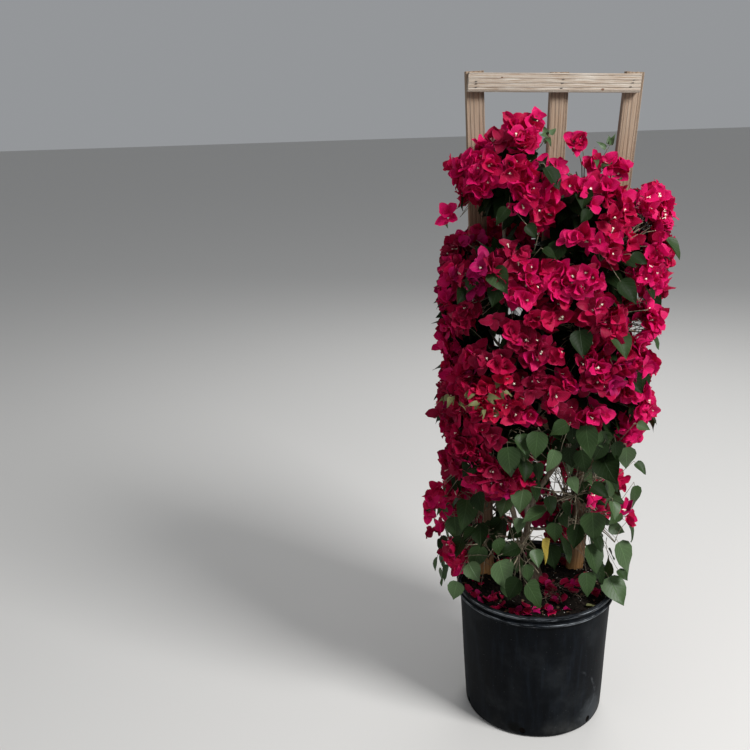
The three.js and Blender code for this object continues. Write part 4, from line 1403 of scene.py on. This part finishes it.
def branches(crown, mass, rng):
    """The solids' rule: a mass's stem, and its branches as direction, turn, reach, root and tip."""
    rule = BRANCHING["open" if mass.leafy else "dense"]
    random = Seeded(mass.seed)
    for _ in range(0 if mass.leafy else CORE_CORNERS):
        random()
    start, centre = mass.stem
    add_twigs(crown, start[None], centre[None], STEM_RADII, rng, sag=0)
    for k in range(rule["tries"]):
        direction = spray_direction(k, rule["tries"], random)
        turn = 2 * math.pi * random()
        reach = random()
        root = mix(start, centre, 0.3 + 0.65 * reach)
        tip = centre + direction * mass.size * (rule["least"] + rule["more"] * reach)
        if crown.in_own_space(mass, tip[None])[0]:
            add_twigs(crown, root[None], tip[None], rule["radii"], rng)
            yield direction, turn, reach, root, tip


def hang_inner_leaves(crown, direction, root, fork, rng):
    """Plain dark leaves along a branch, deep inside the crown, whose darkest green is partly painted shade.
    """
    count = 4
    shares = rng.uniform(0.45, 1.0, count)[:, None]
    at = root * (1 - shares) + fork * shares
    along = unit(direction + rng.normal(0, 0.8, (count, 3)) - vec(0, 0, 0.3))
    up = unit(direction + vec(0, 0, 0.8) + rng.normal(0, 0.3, (count, 3)))
    long = LEAF_LENGTH * rng.uniform(0.75, 1.0, count)
    low = below_top_line(at + along * long[:, None], 2)
    hang_leaves(crown, "dark_green", crown.inner_leaves, at[low], along[low], up[low], long[low], rng)


def branch_sites(crown, mass, direction, turn, reach, rng):
    """Which way a branch's twigs point, and where they end, near the crown's skin."""
    side = vec(0, 0, 1) if abs(direction[2]) < 0.9 else vec(1, 0, 0)
    across = unit(np.cross(side, direction))
    other = np.cross(direction, across)
    j = np.arange(SITES)
    angle = turn + j * GOLDEN_ANGLE
    off = CONE * np.sqrt((j + 0.5) / SITES)
    ways = direction + across * (np.cos(angle) * off)[:, None] + other * (np.sin(angle) * off)[:, None]
    ways = unit(ways + rng.normal(0, 0.06, ways.shape))
    rays = ways * mass.size
    limit = crown.reach(mass, rays) - BRACT_LENGTH * 0.8 / np.linalg.norm(rays, axis=1)
    clump = lumps(mass.centre + rays * limit[:, None])
    tall = limit * (0.83 + 0.16 * math.sqrt(reach)) * (1 - 0.6 * off**2)
    tall = tall * (1 + 0.09 * np.clip(clump, -1, 0.5))
    sites = mass.centre + rays * (tall * rng.uniform(0.92, 1.03, SITES))[:, None]
    kept = crown.in_own_space(mass, sites, math.inf)
    kept &= (clump > -0.5) | (rng.random(SITES) < 0.12)
    kept &= ~(in_spots(sites, HOLLOWS, 6) & (sites[:, 1] < FRONT))
    shown_leaves = kept_free((*CROWN_LEAVES, *BIG_LEAVES), 0.3, 0.42)
    kept &= ~(in_spots(sites, shown_leaves, 4) & (sites[:, 1] < LEAF_FRONT))
    kept &= below_top_line(sites, 8)
    return ways[kept], sites[kept]


def grow_dense(crown, mass):
    """A mass of blossom: pairs of blooms on fine twigs all over its outside, and dark leaves inside."""
    rng = np.random.default_rng(mass.seed)
    for direction, turn, reach, root, fork in branches(crown, mass, rng):
        hang_inner_leaves(crown, direction, root, fork, rng)
        if shows_outside(mass, direction):
            ways, sites = branch_sites(crown, mass, direction, turn, reach, rng)
            if len(sites):
                dress_branch(crown, root, fork, sites, unit(ways / mass.size), rng)


def dress_branch(crown, root, fork, sites, normal, rng):
    """One branch's twigs, with a bloom at most ends, another beside it, and here and there a leaf."""
    add_twigs(crown, root + (fork - root) * rng.uniform(0.6, 1.0, (len(sites), 1)), sites, TWIG_RADII, rng)
    leafy = in_spots(sites, LEAFY) & (sites[:, 1] < FRONT)
    axis = unit(normal + rng.normal(0, 0.32, normal.shape) + vec(0, 0, 0.12))
    shades = pick_shades(rng, fork, len(sites))
    size = BRACT_LENGTH * rng.uniform(0.76, 1.12, len(sites))
    bloom = ~leafy & (rng.random(len(sites)) < 0.95)
    open_blooms(crown, shades[bloom], sites[bloom], axis[bloom], size[bloom], rng)
    again = bloom & (rng.random(len(sites)) < 0.85)
    beside_it = sites + rng.normal(0, 12, sites.shape) - normal * 14
    tilted = unit(axis + rng.normal(0, 0.45, axis.shape))
    open_blooms(crown, shades[again], beside_it[again], tilted[again], size[again] * 0.95, rng)

    young = in_spots(fork[None], YOUNG)[0] and fork[1] < YOUNG_FRONT
    bare = np.flatnonzero(leafy | (rng.random(len(sites)) < (0.35 if young else 0.035)))
    bare = bare[apart(sites[bare], crown.leaf_spots, 12 if young else LEAF_APART * 0.8, SITES)]
    hang = unit(normal[bare] * 0.3 - vec(0, 0, 0.9) + rng.normal(0, 0.35, (len(bare), 3)))
    face = unit(normal[bare] + vec(0, 0, 0.3))
    # Leaves among the blooms are mostly the darkest green: partly painted shade.
    shade = "new_green" if young else ("green" if rng.random() < 0.4 else "dark_green")
    long = LEAF_LENGTH * rng.uniform(0.7, 1.0, len(bare)) * (0.45 if young else 1)
    hang_leaves(crown, shade, crown.leaves, sites[bare], hang, face, long, rng)


def grow_open(crown, mass):
    """A mass of leaves: big single leaves on twigs, and blossom where the frame shows it."""
    rng = np.random.default_rng(mass.seed)
    for _, _, _, root, tip in list(branches(crown, mass, rng)):
        out = unit(vec(tip[0] - CROWN_X, tip[1] - CROWN_Y, 0))
        ends = tip + rng.normal(0, 34, (LEAF_SPOTS_EACH, 3)) + out * 12
        size = LEAF_LENGTH * rng.uniform(0.55, 1.1, len(ends))
        along = unit(out * 0.5 - vec(0, 0, 0.9) + rng.normal(0, 0.45, ends.shape))
        middles = ends + along * size[:, None] / 2
        ok = (mass.outness(ends + along * size[:, None]) < 1.0) & (mass.outness(ends) < 0.9)
        ok &= crown.in_own_space(mass, ends) & ~in_spots(middles, LOW_SKY, 5)
        ok &= (ends[:, 2] > POT_HEIGHT + 8) | (np.hypot(ends[:, 0], ends[:, 1]) < 150)
        ok &= ~(in_spots(middles, kept_free(BIG_LEAVES, 0.36, 0.45), 5) & (middles[:, 1] < 0))
        in_front = tip[1] < LOW_FRONT
        wanted = in_spots(ends, LOW_BLOSSOM) if in_front else np.full(len(ends), rng.random() < BACK_BLOOM)
        for blossom, limit, most in ((False, LEAF_APART, LEAVES_EACH), (True, LEAF_APART * 0.4, BLOOMS_EACH)):
            chosen = np.flatnonzero(ok & (wanted == blossom))
            chosen = chosen[apart(middles[chosen], crown.leaf_spots, limit, most)]
            count = len(chosen)
            if not count:
                continue
            share = rng.uniform(0.35, 1.0, (count, 1))
            add_twigs(crown, root + (tip - root) * share, ends[chosen], OPEN_TWIG_RADII, rng)
            if blossom:
                axis = unit(out + rng.normal(0, 0.45, (count, 3)) + vec(0, 0, 0.1))
                shades = pick_shades(rng, tip, count)
                length = BRACT_LENGTH * rng.uniform(0.76, 1.12, count)
                open_blooms(crown, shades, ends[chosen], axis, length, rng)
            else:
                shade = rng.choice(["green", "green", "pale_green", "dark_green", "dark_green"])
                face = unit(out * 1.1 + vec(0, 0, 0.6) + rng.normal(0, 0.22, (count, 3)))
                hang_leaves(crown, shade, crown.leaves, ends[chosen], along[chosen], face, size[chosen], rng)


def grow_sprigs(crown):
    """The loose sprigs that rise above the crown, each a few blooms or small leaves on its own long twig."""
    rng = np.random.default_rng(SEEDS["sprigs"])
    for x, y, pixels in SPRIGS:
        at = place_seen_at(x, y, -60)
        mass = min((m for m in crown.masses if not m.leafy), key=lambda m: m.outness(at))
        root = mix(mass.centre, at, 0.3)
        add_twigs(crown, root[None], at[None], SPRIG_RADII, rng, sag=0.02)
        count = 3 if pixels > WIDE_SPRIG else 2
        axis = unit(rng.normal(0, 0.3, (count, 3)) + vec(-0.1, -0.9, 0.4))
        if pixels:
            size = pixels * rng.uniform(1.15, 1.45, count)
            shades = rng.choice(["rose", "crimson"], count, p=(0.6, 0.4))
            blooms_at = at + axis * 4 - vec(0, 0, 1) * np.arange(count)[:, None] * 5
            open_blooms(crown, shades, blooms_at, axis, size, rng)
        sprouts, spread, drop, rise = (4, 5, 14, 0.1) if pixels else (8, 3, 0, 0.5)
        ends = at + rng.normal(0, spread, (sprouts, 3)) - vec(0, 0, drop)
        tuft = unit(rng.normal(0, 0.6, (sprouts, 3)) + vec(0, -0.2, rise))
        size = rng.uniform(15, 25, sprouts)
        hang_leaves(crown, "pale_green", crown.young_leaves, ends, tuft, vec(0, -1, 0.5), size, rng)


def big_leaf_place(crown, x, y, low, sunk):
    """Where a leaf hangs that shows at pixel x, y."""
    if low and y > LOW_LEAVES_FROM:
        deeper = ASIDE_DEEPER if abs(x - MIDDLE_COLUMN) > MIDDLE_HALF_WIDTH else 0
        nearer = LOWEST_NEARER if y > LOWEST_LEAVES_FROM else 0
        return place_seen_at(x, y, LOW_LEAF_DEPTH + deeper - nearer)
    return crown.skin_seen_at(x, y, sunk)


def hang_big_leaves(crown):
    """The leaves that show best, each where the frame shows it, on a twig from the nearest wood."""
    rng = np.random.default_rng(SEEDS["big_leaves"])
    right, up, forward = camera_axes()
    rows = [(*leaf, "green") for leaf in BIG_LEAVES] + [(*YELLOW_LEAF, "yellow")]
    # The crown's front leaves all take the darkest green: partly painted shade among the blooms.
    rows += [(*leaf, "dark_green") for leaf in CROWN_LEAVES] + [(*leaf, "new_green") for leaf in YOUNG_LEAVES]
    sunk = {"dark_green": 20, "new_green": -2}
    for x, y, pixels, swing, shade in rows:
        low = shade not in sunk
        middle = big_leaf_place(crown, x, y, low, sunk.get(shade, 12))
        size = pixels * (middle - vec(*CAMERA_AT)) @ forward / PIXELS_A_UNIT
        way = math.radians(swing)
        along = unit(right * math.sin(way) - up * math.cos(way) - forward * rng.uniform(-0.3, 0.5))[None]
        root = (middle - along[0] * size / 2)[None]
        rise = 1.0 if y > LOWEST_LEAVES_FROM else 0.5
        face = unit(-forward + vec(0, 0, rise) + rng.normal(0, 0.42, 3))
        if shade == "yellow":
            face = unit(right - forward * 0.5)
        crown.leaf_spots += [middle, middle + forward * 14]
        if shade == "green":
            shade = rng.choice(["green", "dark_green", "pale_green"], p=(0.5, 0.2, 0.3))
        if shade == "new_green":
            tuft = unit(along + rng.normal(0, 0.6, (3, 3)))
            sizes = size * rng.uniform(0.8, 1.3, 3)
            at = np.repeat(middle[None], 3, 0)
            hang_leaves(crown, shade, crown.young_leaves, at, tuft, face, sizes, rng, margin=0.3)
        else:
            sizes = np.array([size * 1.06])
            hang_leaves(crown, shade, crown.leaves, root, along, face, sizes, rng, margin=0.3)
            add_twigs(crown, crown.nearest_wood(root, low, rng), root, BIG_LEAF_TWIG_RADII, rng)


def make_litter(crown):
    """Fallen bracts and dried leaves on the mix, and a few dry rootlets by the trunk."""
    rng = np.random.default_rng(SEEDS["litter"])
    heaps = [(mix_seen_at(x, y), count) for x, y, count in FALLEN]
    heaps += [(vec(x, y), count) for x, y, count in FALLEN_BEHIND]
    for middle, count in heaps:
        spot = middle + rng.normal(0, 10, (count, 2))
        spot = spot * np.minimum(1, HEAP_R / np.linalg.norm(spot, axis=1))[:, None]
        at = on_soil(*spot.T, rise=rng.uniform(1.5, 6, count))
        along = unit(rng.normal(0, 1, (count, 3)) * vec(1, 1, 0.2))
        up = unit(rng.normal(0, 0.35, (count, 3)) + vec(0, 0, 1) * np.sign(rng.normal(0.4, 1, (count, 1))))
        size = BRACT_LENGTH * rng.uniform(0.65, 0.95, count)
        root = at - along * (size * 0.5)[:, None]
        far = np.hypot(*(root + along * size[:, None])[:, :2].T)
        near = np.hypot(root[:, 0], root[:, 1])
        for i in np.flatnonzero(np.maximum(far, near) < LITTER_R):
            shade = rng.choice(["crimson", "deep", "deep", "deep", "magenta"])
            axes = facing(along[i:i + 1], up[i:i + 1]) * size[i]
            crown.add(f"bracts_{shade}", crown.bracts[i % len(crown.bracts)], axes, root[i:i + 1])
    for x, y in DRY_LEAVES:
        at = on_soil(*mix_seen_at(x, y), rise=4)[None]
        along = unit(rng.normal(0, 1, (1, 3)) * vec(1, 1, 0.1))
        crown.add("leaves_new_green", crown.leaves[0], facing(along, vec(0, 0.3, 1)) * 26, at - along * 13)
    make_rootlets(crown, rng)


def make_rootlets(crown, rng):
    """Fine dry rootlets in loose curls over the mix."""
    paths = []
    for _ in range(46):
        middle = vec(30, -30, 0) + vec(*rng.normal(0, 34, 2), 0)
        turn = rng.uniform(0, 6.3) + np.linspace(0, rng.uniform(1.5, 4.5), 9)
        curl = np.stack([np.cos(turn), np.sin(turn), 0 * turn], -1) * rng.uniform(9, 26) + middle
        arch = rng.uniform(0, 12) * np.sin(np.linspace(0, math.pi, 9))
        paths.append(on_soil(curl[:, 0], curl[:, 1], rise=2 + arch))
    paths = np.array(paths)
    crown.add_tubes("rootlets", paths, np.full(paths.shape[:2], 0.42), 3)


def make_crown(masses):
    crown = Crown(masses)
    hang_big_leaves(crown)
    for mass in masses:
        grow = grow_open if mass.leafy else grow_dense
        grow(crown, mass)
    grow_sprigs(crown)
    make_litter(crown)
    blooms = named("bloom_")
    low = named("leaves_")
    dry_root = plain_material("dry_root", DRY_ROOT, 0.9, 300.0, 0.0003)
    pieces = [(f"bracts_{k}", bract_material(k, colour), "bloom", blooms) for k, colour in CRIMSONS.items()]
    pieces += [(f"leaves_{k}", leaf_material(k, colour), "foliage", low) for k, colour in GREENS.items()]
    pieces += [("twigs", twig_material(), "bark", blooms + low), ("rootlets", dry_root, "bark_mix", ["soil"])]
    pieces += [("flowers", flower_material(), "bloom", blooms)]
    for name, material, slot, stands_for in pieces:
        make_piece(name, joined(crown.placed[name]), material, slot, stands_for)


# Floor, light and camera

def make_stage():
    bpy.ops.mesh.primitive_plane_add(size=40, location=(0, 0, 0))
    floor = bpy.context.object
    floor.name = "floor"
    shader = Shader("pale_floor", base_color=FLOOR, roughness=0.9)
    floor.data.materials.append(shader.material)
    world = bpy.data.worlds.new("studio")
    bpy.context.scene.world = world
    world.use_nodes = True
    background = world.node_tree.nodes["Background"]
    background.inputs["Color"].default_value = (0.93, 0.96, 1.0, 1)
    background.inputs["Strength"].default_value = 0.32
    for name, (place, height, size, watts) in LIGHTS.items():
        add_light(name, place, (0, 0, height), size, watts)


def look_at(place, target):
    away = unit(vec(*place) - vec(*target))
    x = unit(np.cross(vec(0, 0, 1), away))
    axes = np.stack([x, np.cross(away, x), away], 1)
    return Matrix.Translation(place) @ Matrix(axes.tolist()).to_4x4()


def add_light(name, place, target, size, watts):
    light = bpy.data.lights.new(name, "AREA")
    light.size = size
    light.energy = watts
    lamp = bpy.data.objects.new(name, light)
    lamp.matrix_world = look_at(place, target)
    bpy.context.scene.collection.objects.link(lamp)


def make_camera():
    data = bpy.data.cameras.new("camera")
    data.lens = CAMERA_LENS
    data.sensor_width = CAMERA_SENSOR
    data.clip_start = 0.05
    camera = bpy.data.objects.new("camera", data)
    right, up, forward = camera_axes()
    axes = Matrix(np.stack([right, up, -forward], 1).tolist()).to_4x4()
    camera.matrix_world = Matrix.Translation([c * MM for c in CAMERA_AT]) @ axes
    bpy.context.scene.collection.objects.link(camera)
    bpy.context.scene.camera = camera


masses = crown_masses()
make_camera()
make_stage()
make_pot()
make_soil()
make_trellis()
make_limbs(masses)
make_crown(masses)
bpy.context.scene.view_settings.view_transform = "Standard"
bpy.context.view_layer.update()
